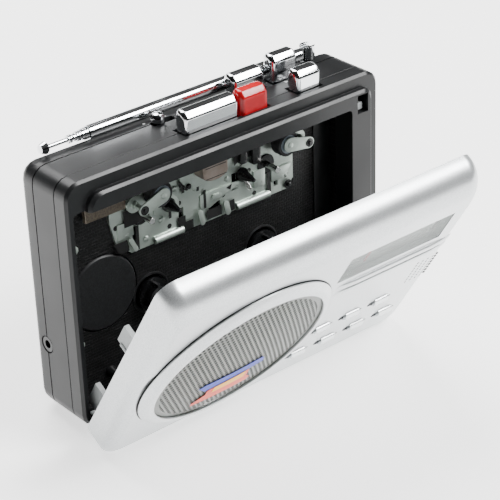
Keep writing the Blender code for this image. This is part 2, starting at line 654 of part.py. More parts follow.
def idler_place(reel_x, capstan_x):
    """Centre and radius of the wheel that runs between a reel gear and a flywheel hub."""
    reel = Vector((reel_x, REEL_HEIGHT))
    hub = Vector((capstan_x, CAPSTAN_HEIGHT))
    space = (hub - reel).length - REEL_GEAR_RADIUS - 3.0
    direction = (hub - reel).normalized()
    middle = reel + direction * (REEL_GEAR_RADIUS + space / 2)
    return middle.x, middle.y, space / 2 - GAP


# ---- electronics -------------------------------------------------------------------------------
def make_electronics():
    front = FLOOR_BACK + 0.6
    board = solid("main_board", box(-HALF_WIDTH + 6, HALF_WIDTH - 18, front, front + 1.2,
                                    WALL + 1.2, REEL_HEIGHT - REEL_GEAR_RADIUS - 1.5), "circuit_board")
    for x, width in ((-30, 9), (-8, 6), (14, 11)):
        join(board, box(x, x + width, front + 0.6, front + 2.0, 7, 13))
    jack = turned((-HALF_WIDTH, JACK_DEPTH, JACK_HEIGHT), "x",
                  [(1.2, 0), (1.6, 0.5), (8.0, 0.5), (8.0, 1.25), (0.15, 1.25), (0.15, JACK_RADIUS),
                   (9.5, JACK_RADIUS), (9.5, 0)], 20)
    solid("dc_jack", jack, "dark_acetal")
    phone = turned((HALF_WIDTH - 10, PHONE_DEPTH, PHONE_HEIGHT), "x",
                   [(0, 1.85), (0, PHONE_RADIUS), (9.8, PHONE_RADIUS), (9.8, 1.85)], 20, ring=True)
    solid("headphone_jack", phone, "dark_acetal")
    centre = (HALF_WIDTH + WHEEL_PROUD - WHEEL_RADIUS, VOLUME_FRONT, VOLUME_Z)
    thickness = VOLUME_BACK - VOLUME_FRONT
    solid("volume_wheel", turned(centre, "y", [(0, 0), (0, WHEEL_RADIUS - 0.3), (0.3, WHEEL_RADIUS),
          (thickness - 0.3, WHEEL_RADIUS), (thickness, WHEEL_RADIUS - 0.3), (thickness, 0)], 40),
          "black_plastic", centre)


# ---- keys, knob, catch -----------------------------------------------------------------------
def make_keys():
    for name, left, right, front, top, finish in key_table():
        bevel = 0.9
        back = front + KEY_DEPTH
        base = CASE_HEIGHT - KEY_STEM
        profile = [(front, base), (front, top - 2.0), (front + 1.5, top), (back - 0.9, top),
                   (back, top - 0.9), (back, base)]
        middle_y = (front + back) / 2
        key = bmesh.new()
        rings = []
        for x, inset in ((left, bevel), (left + bevel, 0), (right - bevel, 0), (right, bevel)):
            rings.append([key.verts.new((x * MM, (y - math.copysign(inset, y - middle_y)) * MM,
                                         (z - (inset if z > base + 1 else 0)) * MM))
                          for y, z in profile])
        for near, far in zip(rings, rings[1:]):
            for i in range(len(profile)):
                j = (i + 1) % len(profile)
                key.faces.new((near[i], near[j], far[j], far[i]))
        key.faces.new(rings[0])
        key.faces.new(rings[-1])
        bmesh.ops.recalc_face_normals(key, faces=key.faces)
        solid(name, key, finish, ((left + right) / 2, middle_y, CASE_HEIGHT))
    knob = turned((KNOB_X, KNOB_DEPTH, CASE_HEIGHT), "z",
                  [(-3.5, 0), (-3.5, 0.9), (0.4, 0.9), (0.4, 2.1), (1.9, 2.1), (3.0, 1.5), (3.4, 0)], 20)
    solid("function_knob", knob, "chrome_plate", (KNOB_X, KNOB_DEPTH, CASE_HEIGHT))
    solid("door_catch", box(CATCH_X - 1.5, CATCH_X + 1.3, -0.6, FRAME_DEPTH - 0.4, CATCH_Z - 2.6,
                            CATCH_Z - 0.2), "pale_plastic")


# ---- antenna ----------------------------------------------------------------------------------
def make_antenna():
    x, y, z = ANTENNA_PIVOT_X, ANTENNA_DEPTH, ANTENNA_HEIGHT
    swivel = solid("antenna_swivel", turned((x, y, CASE_HEIGHT), "z",
                   [(-WALL + 0.4, 0), (-WALL + 0.4, 1.5), (-0.3, 1.5), (-0.3, 2.4), (4.4, 2.4),
                    (4.4, 0)], 20), "chrome_plate", (x, y, z))
    cut(swivel, box(x - 4, x + 4, y - 1.0 - GAP, y + 1.0 + GAP, z - 2.2, z + 6))
    tongue_end = x - 3.4
    bore = ANTENNA_RADIUS - ANTENNA_WALL
    outer = turned((tongue_end, y, z), "x",
                   [(-3, 0), (-3, bore), (-ANTENNA_LENGTH, bore), (-ANTENNA_LENGTH, ANTENNA_RADIUS),
                    (0, ANTENNA_RADIUS), (0, 0)], 16)
    tube = solid("antenna_tube", outer, "chrome_plate", (x, y, z))
    join(tube, box(tongue_end - 1.0, x + 1.4, y - 1.0, y + 1.0, z - 1.6, z + 1.6))
    radius = ANTENNA_RADIUS - ANTENNA_WALL - ANTENNA_GAP
    end = tongue_end - ANTENNA_LENGTH
    for number, proud in ((2, 2.6), (3, 5.2)):
        bore = radius - ANTENNA_WALL
        section = turned((end, y, z), "x",
                         [(-proud, bore), (-proud, radius), (ANTENNA_LENGTH - 6, radius),
                          (ANTENNA_LENGTH - 6, bore)], 16, ring=True)
        solid("antenna_section_%d" % number, section, "chrome_plate", (x, y, z))
        radius = bore - ANTENNA_GAP
    rod = turned((end, y, z), "x", [(-ANTENNA_TIP - 2.4, 0), (-ANTENNA_TIP - 2.2, 1.3),
                 (-ANTENNA_TIP - 0.5, 1.9), (-ANTENNA_TIP, 1.6), (-ANTENNA_TIP, radius),
                 (ANTENNA_LENGTH - 8, radius), (ANTENNA_LENGTH - 8, 0)], 16)
    solid("antenna_rod", rod, "chrome_plate", (x, y, z))


# ---- door ----------------------------------------------------------------------------------------
def door_outline(inset=0.0):
    return case_outline(inset, CASE_CORNER)


def make_door_shell():
    stations = [(-GAP, door_outline()), (DOOR_FACE + DOOR_ROUND, door_outline())]
    for step in range(1, ARC_STEPS + 1):
        angle = math.pi / 2 * step / ARC_STEPS
        stations.append((DOOR_FACE + DOOR_ROUND * (1 - math.sin(angle)),
                         door_outline(DOOR_ROUND * (1 - math.cos(angle)))))
    shell = solid("door_shell", loft(stations), "silver_plastic", HINGE, door_hinge)
    cut(shell, loft([(0.5, door_outline(DOOR_WALL)), (DOOR_INSIDE + 2, door_outline(DOOR_WALL)),
                     (DOOR_INSIDE, door_outline(DOOR_WALL + 1.6))]))
    cut(shell, oval([(DOOR_FACE - 2, GRILLE_RADIUS), (DOOR_INSIDE + 1, GRILLE_RADIUS)]))
    cut(shell, box(WINDOW_LEFT, WINDOW_RIGHT, DOOR_FACE - 2, DOOR_INSIDE + 1, WINDOW_LOW, WINDOW_HIGH))
    for x, z in bar_places():
        cut(shell, box(x - GAP, x + BAR_LENGTH + GAP, DOOR_FACE - 2, DOOR_INSIDE + 1,
                       z - BAR_HEIGHT / 2 - GAP, z + BAR_HEIGHT / 2 + GAP))
    cut(shell, turned((MIC_X, DOOR_FACE, MIC_Z), "y", [(-2, 1.6), (DOOR_WALL + 1, 1.6)], 16))
    cut(shell, box(HALF_WIDTH - DOOR_WALL - 1, HALF_WIDTH + 1, TUNING_FRONT - GAP, TUNING_BACK + GAP,
                   TUNING_Z - WHEEL_RADIUS, TUNING_Z + WHEEL_RADIUS))


def oval(profile, ring=False):
    """Turned shape of the speaker opening, pressed to its oval."""
    mesh = turned((SPEAKER_X, 0, 0), "y", profile, 48, ring)
    for vert in mesh.verts:
        vert.co.z = vert.co.z * SPEAKER_OVAL + SPEAKER_Z * MM
    return mesh


def bar_places():
    for first_x, z, count in BAR_ROWS:
        for i in range(count):
            yield first_x + i * BAR_PITCH, z


def make_door_parts():
    ring_front = DOOR_FACE - RING_RISE
    hole_side = GRILLE_RADIUS - GAP
    wall_side = hole_side - RING_WALL
    foot = DOOR_FACE + RING_FOOT
    ring = [(foot, hole_side), (DOOR_FACE - GAP, hole_side), (DOOR_FACE - GAP, RING_RADIUS),
            (DOOR_FACE - GAP - RING_FLANGE, RING_RADIUS), (ring_front, wall_side + 0.2),
            (ring_front, wall_side - RING_HOLD), (ring_front + RING_LIP, wall_side - RING_HOLD),
            (ring_front + RING_LIP, wall_side), (foot, wall_side)]
    solid("speaker_ring", oval(ring, ring=True), "silver_plastic", HINGE, door_hinge)
    grille_front = ring_front + RING_LIP + GAP
    edge = wall_side - GAP
    sheet = []
    for share, depth in ((0, 1.0), (0.35, 0.88), (0.65, 0.58), (0.85, 0.28), (1, 0)):
        sheet.append((grille_front - GRILLE_DOME * depth, edge * share))
    sheet += [(depth + GRILLE_SHEET, radius) for depth, radius in reversed(sheet)]
    solid("speaker_grille", oval(sheet), "perforated_steel", HINGE, door_hinge)
    cone_front = grille_front + GRILLE_SHEET + GAP
    cone = turned((SPEAKER_X, cone_front, SPEAKER_Z), "y",
                  [(0, CONE_RADIUS), (1.6, 9.0), (1.0, 0), (1.6, 0), (2.2, 9.0), (0.6, CONE_RADIUS)], 36,
                  ring=True)
    solid("speaker_cone", cone, "paper_cone", HINGE, door_hinge)
    basket = turned((SPEAKER_X, 0, SPEAKER_Z), "y",
                    [(cone_front, CONE_RADIUS + GAP), (cone_front, CONE_RADIUS + 1.6),
                     (cone_front + 1.4, CONE_RADIUS + 1.6), (PLATE_FRONT - GAP - 1.0, 10.0),
                     (PLATE_FRONT - GAP, 10.0), (PLATE_FRONT - GAP, 3.0),
                     (cone_front + 2.2 + GAP, 3.0), (cone_front + 2.2 + GAP, 9.4),
                     (cone_front + 0.6 + GAP, CONE_RADIUS + GAP)], 36, ring=True)
    solid("speaker_basket", basket, "steel", HINGE, door_hinge)
    plate = solid("door_inner_plate", prism(door_outline(DOOR_WALL + GAP), PLATE_FRONT, PLATE_BACK),
                  "pale_plastic", HINGE, door_hinge)
    cut(plate, box(HALF_WIDTH - DOOR_WALL - 12, HALF_WIDTH, PLATE_FRONT - 1, TUNING_BACK + GAP,
                   TUNING_Z - WHEEL_RADIUS - 1, TUNING_Z + WHEEL_RADIUS + 1))
    for x in HINGE_X:
        join(plate, hinge_lug(x))
        half = LUG_THICKNESS / 2 + PIN_REACH
        join(plate, turned((x - half, HINGE_BACK, HINGE_UP), "x",
                           [(0, HINGE_PIN_RADIUS), (2 * half, HINGE_PIN_RADIUS)], 12))
    for z, height in ((ARM_LOW_Z, 9.0), (ARM_HIGH_Z, 7.0)):
        join(plate, box(ARM_X - 0.8, ARM_X + 0.8, PLATE_BACK - 0.5, PLATE_BACK + ARM_REACH, z, z + height))
    lens_front = DOOR_FACE + 0.15
    solid("tuning_lens", box(WINDOW_LEFT + GAP, WINDOW_RIGHT - GAP, lens_front, lens_front + 1.0,
                             WINDOW_LOW + GAP, WINDOW_HIGH - GAP), "clear_lens", HINGE, door_hinge)
    solid("dial_scale", box(WINDOW_LEFT - 1, WINDOW_RIGHT - 1, SCALE_FRONT, SCALE_FRONT + 0.6,
                            WINDOW_LOW - 1, WINDOW_HIGH + 1), "white_scale", HINGE, door_hinge)
    solid("dial_pointer", box(POINTER_X, POINTER_X + 0.8, SCALE_FRONT - GAP - 0.4, SCALE_FRONT - GAP,
                              WINDOW_LOW + 1, WINDOW_HIGH - 1), "red_plastic", HINGE, door_hinge)
    solid("microphone", turned((MIC_X, DOOR_INSIDE + GAP, MIC_Z), "y",
                               [(0, 0), (0, 3.0), (2.2, 3.0), (2.2, 0)], 20), "steel", HINGE, door_hinge)
    centre = (HALF_WIDTH + WHEEL_PROUD - WHEEL_RADIUS, TUNING_FRONT, TUNING_Z)
    thickness = TUNING_BACK - TUNING_FRONT
    solid("tuning_wheel", turned(centre, "y", [(0, 0), (0, WHEEL_RADIUS), (thickness, WHEEL_RADIUS),
          (thickness, 0)], 40), "black_plastic", centre, door_hinge)
    for number, (x, z) in enumerate(bar_places()):
        outline = []
        for step in range(7):
            angle = math.pi * step / 6
            outline.append((-math.sin(angle) * BAR_PROUD, math.cos(angle) * BAR_HEIGHT / 2))
        outline += [(DOOR_WALL + 1.0, -BAR_HEIGHT / 2), (DOOR_WALL + 1.0, BAR_HEIGHT / 2)]
        bar = bmesh.new()
        ends = []
        for end_x in (x, x + BAR_LENGTH):
            ends.append([bar.verts.new((end_x * MM, (DOOR_FACE + y) * MM, (z + up) * MM))
                         for y, up in outline])
        for i in range(len(outline)):
            j = (i + 1) % len(outline)
            bar.faces.new((ends[0][i], ends[0][j], ends[1][j], ends[1][i]))
        bar.faces.new(ends[0])
        bar.faces.new(ends[1])
        bmesh.ops.recalc_face_normals(bar, faces=bar.faces)
        solid("push_bar_%d" % (number + 1), bar, "silver_plastic",
              (x + BAR_LENGTH / 2, DOOR_FACE, z), door_hinge)


def hinge_lug(x):
    """Arm from the door's inner plate back to the hinge pin."""
    mesh = bmesh.new()
    sill = DOOR_WALL + GAP + 0.2
    outline = [(PLATE_BACK - 0.5, sill + 2.7), (PLATE_BACK - 0.5, sill), (GAP, sill)]
    for step in range(9):
        angle = math.radians(-90 + 180 * step / 8)
        outline.append((HINGE_BACK + LUG_END * math.cos(angle), HINGE_UP + LUG_END * math.sin(angle)))
    ends = []
    for end_x in (x - LUG_THICKNESS / 2, x + LUG_THICKNESS / 2):
        ends.append([mesh.verts.new((end_x * MM, y * MM, z * MM)) for y, z in outline])
    for i in range(len(outline)):
        j = (i + 1) % len(outline)
        mesh.faces.new((ends[0][i], ends[0][j], ends[1][j], ends[1][i]))
    mesh.faces.new(ends[0])
    mesh.faces.new(ends[1])
    bmesh.ops.recalc_face_normals(mesh, faces=mesh.faces)
    return mesh


# ---- places that several pieces share -----------------------------------------------------------
REEL_X = (DECK_CENTRE_X - REEL_SPACING / 2, DECK_CENTRE_X + REEL_SPACING / 2)
CAPSTAN_X = (DECK_CENTRE_X - CAPSTAN_SPACING / 2, DECK_CENTRE_X + CAPSTAN_SPACING / 2)
GUIDE_X = (DECK_CENTRE_X - GUIDE_SPACING / 2, DECK_CENTRE_X + GUIDE_SPACING / 2)
CAPSTAN_TIP = 2.0
REEL_TIP = 3.2
REEL_FLANGE = 5.2
ROLLER_RADIUS = 4.0
HEAD_LOW = CAPSTAN_HEIGHT + 5.0
MOTOR_X = OPEN_LEFT + 1.6 + MOTOR_RADIUS
MOTOR_BACK = WELL_DEPTH - 0.4 + MOTOR_LENGTH
BELT_TRACK = FLYWHEEL_RADIUS - 1.2
BELT_GAP = 0.25
SHIELD_LEFT = OPEN_LEFT + 7.8
SHIELD_RIGHT = SHIELD_LEFT + 14.2
SHIELD_LOW = OPEN_TOP - 8.0
JACK_DEPTH = 16.0
JACK_HEIGHT = BULGE_TOP + 3.2
JACK_RADIUS = 2.5
MOTOR_RISE = 6.5
MOTOR_Z = max(REEL_HEIGHT + MOTOR_RISE, JACK_HEIGHT + MOTOR_RADIUS + GAP)
PHONE_RADIUS = 2.4
PHONE_DEPTH = FLOOR_BACK + GAP + PHONE_RADIUS
PHONE_HEIGHT = 36.0
VOLUME_FRONT = FLOOR_BACK + 0.8
VOLUME_BACK = VOLUME_FRONT + 2.4
VOLUME_Z = CASE_HEIGHT - 21.0
KNOB_X = -14.3
KNOB_DEPTH = 15.4
KNOB_TRAVEL = 3.6
CATCH_X = OPEN_RIGHT + 4.4
CATCH_Z = CASE_HEIGHT - 8.5
HINGE = (0, HINGE_BACK, HINGE_UP)
HINGE_X = (OPEN_LEFT + 3.4, OPEN_RIGHT - 4.0)
PLATE_BACK = -GAP - PAD_HEIGHT - 0.4
PLATE_FRONT = PLATE_BACK - 1.0
ARM_X = OPEN_LEFT + 3.4
ARM_LOW_Z = 5.0
ARM_HIGH_Z = 38.5
ARM_REACH = 10.2
ANTENNA_TIP = 14.0
ANTENNA_GAP = 0.12
CONE_RADIUS = GRILLE_RADIUS * SPEAKER_OVAL - CONE_CLEAR
SCALE_FRONT = DOOR_INSIDE + 1.2
POINTER_X = WINDOW_LEFT + 12.0
MIC_X = 49.5
MIC_Z = 34.5
TUNING_FRONT = SCALE_FRONT + 1.0
TUNING_BACK = TUNING_FRONT + 2.0
TUNING_Z = 58.0
BAR_PROUD = 1.1

for old in list(bpy.data.objects):
    bpy.data.objects.remove(old, do_unlink=True)

FRAME_ORIGINS = {"door_hinge": Vector(HINGE)}
case_place = empty("case_place")
door_hinge = empty("door_hinge", HINGE, case_place, DOOR_OPEN_DEG)

make_front_frame()
make_case_band()
make_rear_cover()
make_battery_parts()
make_well()
make_deck()
make_head()
make_pinch("left", (CAPSTAN_X[0] - 2.6, CAPSTAN_HEIGHT + 4.4), (CAPSTAN_X[0] + 4.4, CAPSTAN_HEIGHT + 6.6), 1)
make_pinch("right", (CAPSTAN_X[1] + 12.6, CAPSTAN_HEIGHT + 5.0), (CAPSTAN_X[1] + 5.0, CAPSTAN_HEIGHT + 6.6), -1)
make_drive()
make_electronics()
make_keys()
make_antenna()
make_door_shell()
make_door_parts()


def stand_on_floor():
    """Lean the case back onto the open door's lower edge and the rear foot, then centre it."""
    door_turn = math.radians(DOOR_OPEN_DEG)
    arm_y = DOOR_FACE + DOOR_ROUND - HINGE_BACK
    arm_z = DOOR_ROUND - HINGE_UP
    edge_y = HINGE_BACK + arm_y * math.cos(door_turn) - arm_z * math.sin(door_turn)
    edge_z = HINGE_UP + arm_y * math.sin(door_turn) + arm_z * math.cos(door_turn)
    run = BAY_BACK - edge_y
    drop = edge_z - DOOR_ROUND
    case_place.rotation_euler = (math.atan2(drop, run), 0, 0)
    bpy.context.view_layer.update()
    graph = bpy.context.evaluated_depsgraph_get()
    low = Vector((1e9, 1e9, 1e9))
    high = -low
    for piece in bpy.data.objects:
        if piece.type != "MESH" or piece.hide_render:
            continue
        shown = piece.evaluated_get(graph)
        for vertex in shown.data.vertices:
            point = shown.matrix_world @ vertex.co
            low = Vector(map(min, low, point))
            high = Vector(map(max, high, point))
    case_place.location = -Vector(((low.x + high.x) / 2, (low.y + high.y) / 2, low.z))


stand_on_floor()
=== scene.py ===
import json
import math

import bmesh
import bpy
from mathutils import Matrix, Vector


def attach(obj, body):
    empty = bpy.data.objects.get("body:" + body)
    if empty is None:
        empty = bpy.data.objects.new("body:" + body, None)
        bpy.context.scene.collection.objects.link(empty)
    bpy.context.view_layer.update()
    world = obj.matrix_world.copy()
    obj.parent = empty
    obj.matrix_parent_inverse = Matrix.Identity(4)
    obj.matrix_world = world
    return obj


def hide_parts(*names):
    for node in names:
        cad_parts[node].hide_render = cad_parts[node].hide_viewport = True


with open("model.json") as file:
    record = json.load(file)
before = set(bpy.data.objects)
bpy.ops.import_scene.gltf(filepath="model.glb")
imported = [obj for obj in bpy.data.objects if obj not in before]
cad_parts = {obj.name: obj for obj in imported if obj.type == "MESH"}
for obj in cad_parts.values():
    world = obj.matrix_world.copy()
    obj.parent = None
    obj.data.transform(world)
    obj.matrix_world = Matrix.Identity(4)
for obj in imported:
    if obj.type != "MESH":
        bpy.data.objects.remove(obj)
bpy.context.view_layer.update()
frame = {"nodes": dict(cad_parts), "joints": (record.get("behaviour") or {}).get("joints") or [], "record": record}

MM = 0.001

# ---- the case's and the door's own places ----------------------------------------------------
HINGE_DEPTH = 3.2
HINGE_RISE = 1.6
CASE_WIDTH = 116.5
CASE_HEIGHT = 79.0
CASE_DEPTH = 22.5
HALF_WIDTH = CASE_WIDTH / 2
WELL_DEPTH = 8.5
DECK_FRONT = 8.0
DECK_LEFT = -38.85
DECK_RIGHT = 30.15
REEL_PLACES = ((-25.6, 30.0), (16.9, 30.0))
CAPSTAN_PLACES = ((-28.0, 57.0), (19.3, 57.0))
ROLLER_PLACES = ((-23.6, 63.6), (24.3, 63.6))
ARM_PIVOTS = ((-30.6, 61.4), (31.9, 62.0))
DOOR_FACE = -10.3
DOOR_WALL = 1.8
DOOR_BACK = -0.3
SPEAKER = (-23.0, 37.0)
SPEAKER_OVAL = 0.91
OPENING_RADIUS = 31.2
GRILLE_RADIUS = 29.9
RING_RADIUS = 33.6
RING_RISE = 2.6
RING_LIP = 0.7
GRILLE_DOME = 2.0
GRILLE_CELL = (1.62, 1.40)
GRILLE_HOLE = 0.56
GRILLE_SHEET = 0.4
GRILLE_RIM = 2.4
WINDOW = (8.5, 50.0, 52.5, 65.0)
MIC_FIRST = (48.6, 28.4)
MIC_PITCH = (2.1, 1.5)
MIC_COLUMNS = 5
MIC_ROWS = 8
MIC_HOLE_RADIUS = 0.42
BAR_ROWS = ((13.2, 23.6, 3), (8.0, 12.9, 4))
BAR_PITCH = 12.1
BAR_LENGTH = 5.4
BAR_HEIGHT = 3.0
SCOOP_LEFT = 1.1
SCOOP_RADIUS = 1.25
PIN_HOLE_RIGHT = 1.5
PIN_HOLE_RADIUS = 0.45
ARM_X = -52.65
ARM_SIDE = ARM_X + 0.8
WHEEL_PLACE = (51.45, 58.0)
WHEEL_RADIUS = 7.93
WHEEL_RIBS = 44
HEAD_X = -4.35
GAP = 0.3

joints = {joint["name"]: joint for joint in frame["joints"]}
subpart_slots = {part["node"]: part["material_slot"] for part in frame["record"]["subparts"]}
node_bodies = {node: body for body, nodes in frame["record"]["behaviour"]["bodies"].items()
               for node in nodes}


def place_along(depth_axis):
    """Matrix from millimetres of the case or door to the model, through the hinge pin."""
    across = Vector((1, 0, 0))
    depth = Vector(depth_axis).normalized()
    turn = Matrix((across, depth, across.cross(depth))).transposed().to_4x4()
    pin = Matrix.Translation(joints["door_hinge"]["pos_m"])
    return pin @ turn @ Matrix.Scale(MM, 4) @ Matrix.Translation((0, -HINGE_DEPTH, -HINGE_RISE))


CASE = place_along(joints["volume_turn"]["axis"])
DOOR = place_along(joints["tuning_turn"]["axis"])


# ---- nodes and materials ---------------------------------------------------------------------
def linear(code):
    """An sRGB hex colour as the linear colour that a shader takes."""
    values = [int(code[i:i + 2], 16) / 255 for i in (0, 2, 4)]
    return [v / 12.92 if v <= 0.04045 else ((v + 0.055) / 1.055) ** 2.4 for v in values] + [1.0]


def add(tree, kind, inputs=None, **settings):
    """Add a node with its settings, and its inputs as values or links."""
    node = tree.nodes.new(kind)
    for name, value in settings.items():
        setattr(node, name, value)
    for name, value in (inputs or {}).items():
        if isinstance(value, bpy.types.NodeSocket):
            tree.links.new(value, node.inputs[name])
        else:
            node.inputs[name].default_value = value
    return node


def begin(name, colour, roughness, metallic=0.0):
    """New material with its node tree and its shader, one colour all over."""
    material = bpy.data.materials.new(name)
    material.use_nodes = True
    tree = material.node_tree
    shader = tree.nodes["Principled BSDF"]
    shader.inputs["Base Color"].default_value = linear(colour)
    shader.inputs["Roughness"].default_value = roughness
    shader.inputs["Metallic"].default_value = metallic
    return material, tree, shader


def millimetres(tree, place):
    """Pattern coordinates in millimetres that lie square on the case's or the door's walls."""
    point, turn, _ = place.decompose()
    coordinates = add(tree, "ShaderNodeTexCoord")
    return add(tree, "ShaderNodeMapping",
               {"Vector": coordinates.outputs["Object"], "Location": point,
                "Rotation": turn.to_euler(), "Scale": (MM, MM, MM)},
               vector_type="TEXTURE").outputs["Vector"]


def speckle(tree, where, size_mm, detail=2.0, stretch=(1, 1, 1)):
    """Noise whose patches are about size_mm across; stretch above 1 packs it closer."""
    squeezed = add(tree, "ShaderNodeMapping", {"Vector": where, "Scale": stretch})
    noise = add(tree, "ShaderNodeTexNoise", {"Vector": squeezed.outputs["Vector"],
                                             "Scale": 0.5 / size_mm, "Detail": detail})
    return noise.outputs["Fac"]


def varied(tree, factor, low, high):
    """A number that follows a pattern between two ends."""
    return add(tree, "ShaderNodeMapRange",
               {"Value": factor, "From Min": 0.35, "From Max": 0.65, "To Min": low,
                "To Max": high}).outputs["Result"]


def tinted(tree, factor, dark, light):
    """A colour that follows a pattern between two colours."""
    shares = varied(tree, factor, 0.0, 1.0)
    blend = add(tree, "ShaderNodeMix", {"Factor": shares}, data_type="RGBA")
    blend.inputs[6].default_value = linear(dark)
    blend.inputs[7].default_value = linear(light)
    return blend.outputs[2]


def roughened(tree, shader, height, depth_mm, strength=1.0):
    """Give the surface a relief of depth_mm."""
    bump = add(tree, "ShaderNodeBump", {"Height": height, "Distance": depth_mm * MM,
                                        "Strength": strength})
    tree.links.new(bump.outputs["Normal"], shader.inputs["Normal"])


def moulded_abs(name, dark, light, roughness, grain_mm, grain_depth, place):
    """Injection-moulded ABS with a spark-eroded grain: fine pits, and a sheen that wanders."""
    material, tree, shader = begin(name, light, roughness)
    where = millimetres(tree, place)
    cloud = speckle(tree, where, 9.0, 3.0)
    pits = speckle(tree, where, grain_mm, 3.0)
    tree.links.new(tinted(tree, cloud, dark, light), shader.inputs["Base Color"])
    tree.links.new(varied(tree, cloud, roughness - 0.05, roughness + 0.06), shader.inputs["Roughness"])
    shader.inputs["Specular IOR Level"].default_value = 0.32
    roughened(tree, shader, pits, grain_depth)
    return material


def woven_abs():
    """Black ABS moulded with a basket-weave pattern: small bright steps between dull blocks."""
    material, tree, shader = begin("well_woven_abs", "0A0A0B", 0.34)
    where = millimetres(tree, CASE)
    # the brick pattern lies in x and y, so height is turned into y
    upright = add(tree, "ShaderNodeMapping", {"Vector": where, "Rotation": (math.radians(-90), 0, 0)})
    weave = add(tree, "ShaderNodeTexBrick",
                {"Vector": upright.outputs["Vector"], "Scale": 1.0, "Mortar Size": 0.16,
                 "Mortar Smooth": 0.6, "Brick Width": 1.9, "Row Height": 0.95,
                 "Color1": (1, 1, 1, 1), "Color2": (0.7, 0.7, 0.7, 1), "Mortar": (0, 0, 0, 1)})
    cloud = speckle(tree, where, 8.0)
    tree.links.new(tinted(tree, cloud, "060606", "0C0C0D"), shader.inputs["Base Color"])
    shader.inputs["Specular IOR Level"].default_value = 0.3
    roughened(tree, shader, weave.outputs["Color"], 0.06)
    return material


def silver_paint():
    """Sprayed silver paint under clear lacquer: bright flakes, soft gloss, faint orange peel."""
    material, tree, shader = begin("door_silver_paint", "C9CCCE", 0.32, 0.72)
    where = millimetres(tree, DOOR)
    # real flakes are near 0.03 mm; drawn four times as coarse so that they show
    flakes = speckle(tree, where, 0.12, 1.0)
    cloud = speckle(tree, where, 14.0, 2.0)
    peel = speckle(tree, where, 1.1, 1.0)
    tree.links.new(tinted(tree, flakes, "BCC0C2", "D6D9DA"), shader.inputs["Base Color"])
    tree.links.new(varied(tree, cloud, 0.28, 0.36), shader.inputs["Roughness"])
    roughened(tree, shader, peel, 0.004)
    shader.inputs["Coat Weight"].default_value = 0.6
    shader.inputs["Coat Roughness"].default_value = 0.12
    return material


def plated_chrome():
    """Decorative chrome plate: a near mirror with faint wiping marks."""
    material, tree, shader = begin("key_chrome_plate", "E4E6E8", 0.08, 1.0)
    where = millimetres(tree, CASE)
    wipe = speckle(tree, where, 1.6, 3.0, (0.4, 2.0, 2.0))
    tree.links.new(varied(tree, wipe, 0.05, 0.16), shader.inputs["Roughness"])
    roughened(tree, shader, speckle(tree, where, 3.5, 1.0), 0.003)
    return material


def satin_plate():
    """Satin bright plate on the push bars: soft streaked highlights along each bar."""
    material, tree, shader = begin("bar_satin_plate", "E2E5E6", 0.2, 1.0)
    where = millimetres(tree, DOOR)
    streaks = speckle(tree, where, 0.5, 2.0, (0.2, 1.0, 1.0))
    tree.links.new(varied(tree, streaks, 0.14, 0.28), shader.inputs["Roughness"])
    roughened(tree, shader, streaks, 0.002)
    return material


def gloss_plastic(name, dark, light, roughness=0.22, place=None):
    """Polished moulding: clean gloss, slight flow marks."""
    material, tree, shader = begin(name, light, roughness)
    where = millimetres(tree, place or CASE)
    flow = speckle(tree, where, 3.0, 2.0)
    tree.links.new(tinted(tree, flow, dark, light), shader.inputs["Base Color"])
    tree.links.new(varied(tree, flow, roughness - 0.05, roughness + 0.07), shader.inputs["Roughness"])
    roughened(tree, shader, speckle(tree, where, 0.8, 1.0), 0.003)
    return material


def rolled_steel(name, dark, light, roughness, metallic=1.0, lines_mm=0.3, run=(0.08, 1, 1)):
    """Zinc-plated or bare sheet: fine rolling lines along its length and a clouded plating."""
    material, tree, shader = begin(name, light, roughness, metallic)
    where = millimetres(tree, CASE)
    lines = speckle(tree, where, lines_mm, 2.0, run)
    cloud = speckle(tree, where, 3.2, 3.0)
    tree.links.new(tinted(tree, cloud, dark, light), shader.inputs["Base Color"])
    tree.links.new(varied(tree, lines, roughness - 0.05, roughness + 0.07), shader.inputs["Roughness"])
    roughened(tree, shader, lines, 0.0008)
    return material


def lacquered_metal(name, dark, light, roughness, grain_mm=0.3, depth=0.01):
    """Stoved lacquer on sheet metal: even colour, slightly pebbled."""
    material, tree, shader = begin(name, light, roughness, 0.25)
    where = millimetres(tree, CASE)
    pebble = speckle(tree, where, grain_mm, 2.0)
    tree.links.new(tinted(tree, pebble, dark, light), shader.inputs["Base Color"])
    roughened(tree, shader, pebble, depth)
    return material


def ground_rubber():
    """Ground rubber: deep black, dull, with fine grinding lines round the tread."""
    material, tree, shader = begin("roller_ground_rubber", "1A1A1B", 0.75)
    where = millimetres(tree, CASE)
    dust = speckle(tree, where, 0.25, 3.0)
    tree.links.new(tinted(tree, dust, "141415", "242527"), shader.inputs["Base Color"])
    roughened(tree, shader, dust, 0.02)
    return material


def smoked_lens():
    """Clear polished styrene window: glossy, slightly smoked, so the scale shows through."""
    material, tree, shader = begin("window_clear_styrene", "A9B0AE", 0.05)
    where = millimetres(tree, DOOR)
    marks = speckle(tree, where, 2.5, 2.0, (0.5, 1, 2.0))
    tree.links.new(varied(tree, marks, 0.03, 0.10), shader.inputs["Roughness"])
    shader.inputs["Alpha"].default_value = 0.28
    return material


def printed_paper(name, dark, light, roughness=0.55, place=None):
    """Offset print on coated stock or plastic: flat colour with a fine screen."""
    material, tree, shader = begin(name, light, roughness)
    where = millimetres(tree, place or DOOR)
    screen = speckle(tree, where, 0.15, 1.0)
    tree.links.new(tinted(tree, screen, dark, light), shader.inputs["Base Color"])
    roughened(tree, shader, screen, 0.002)
    return material


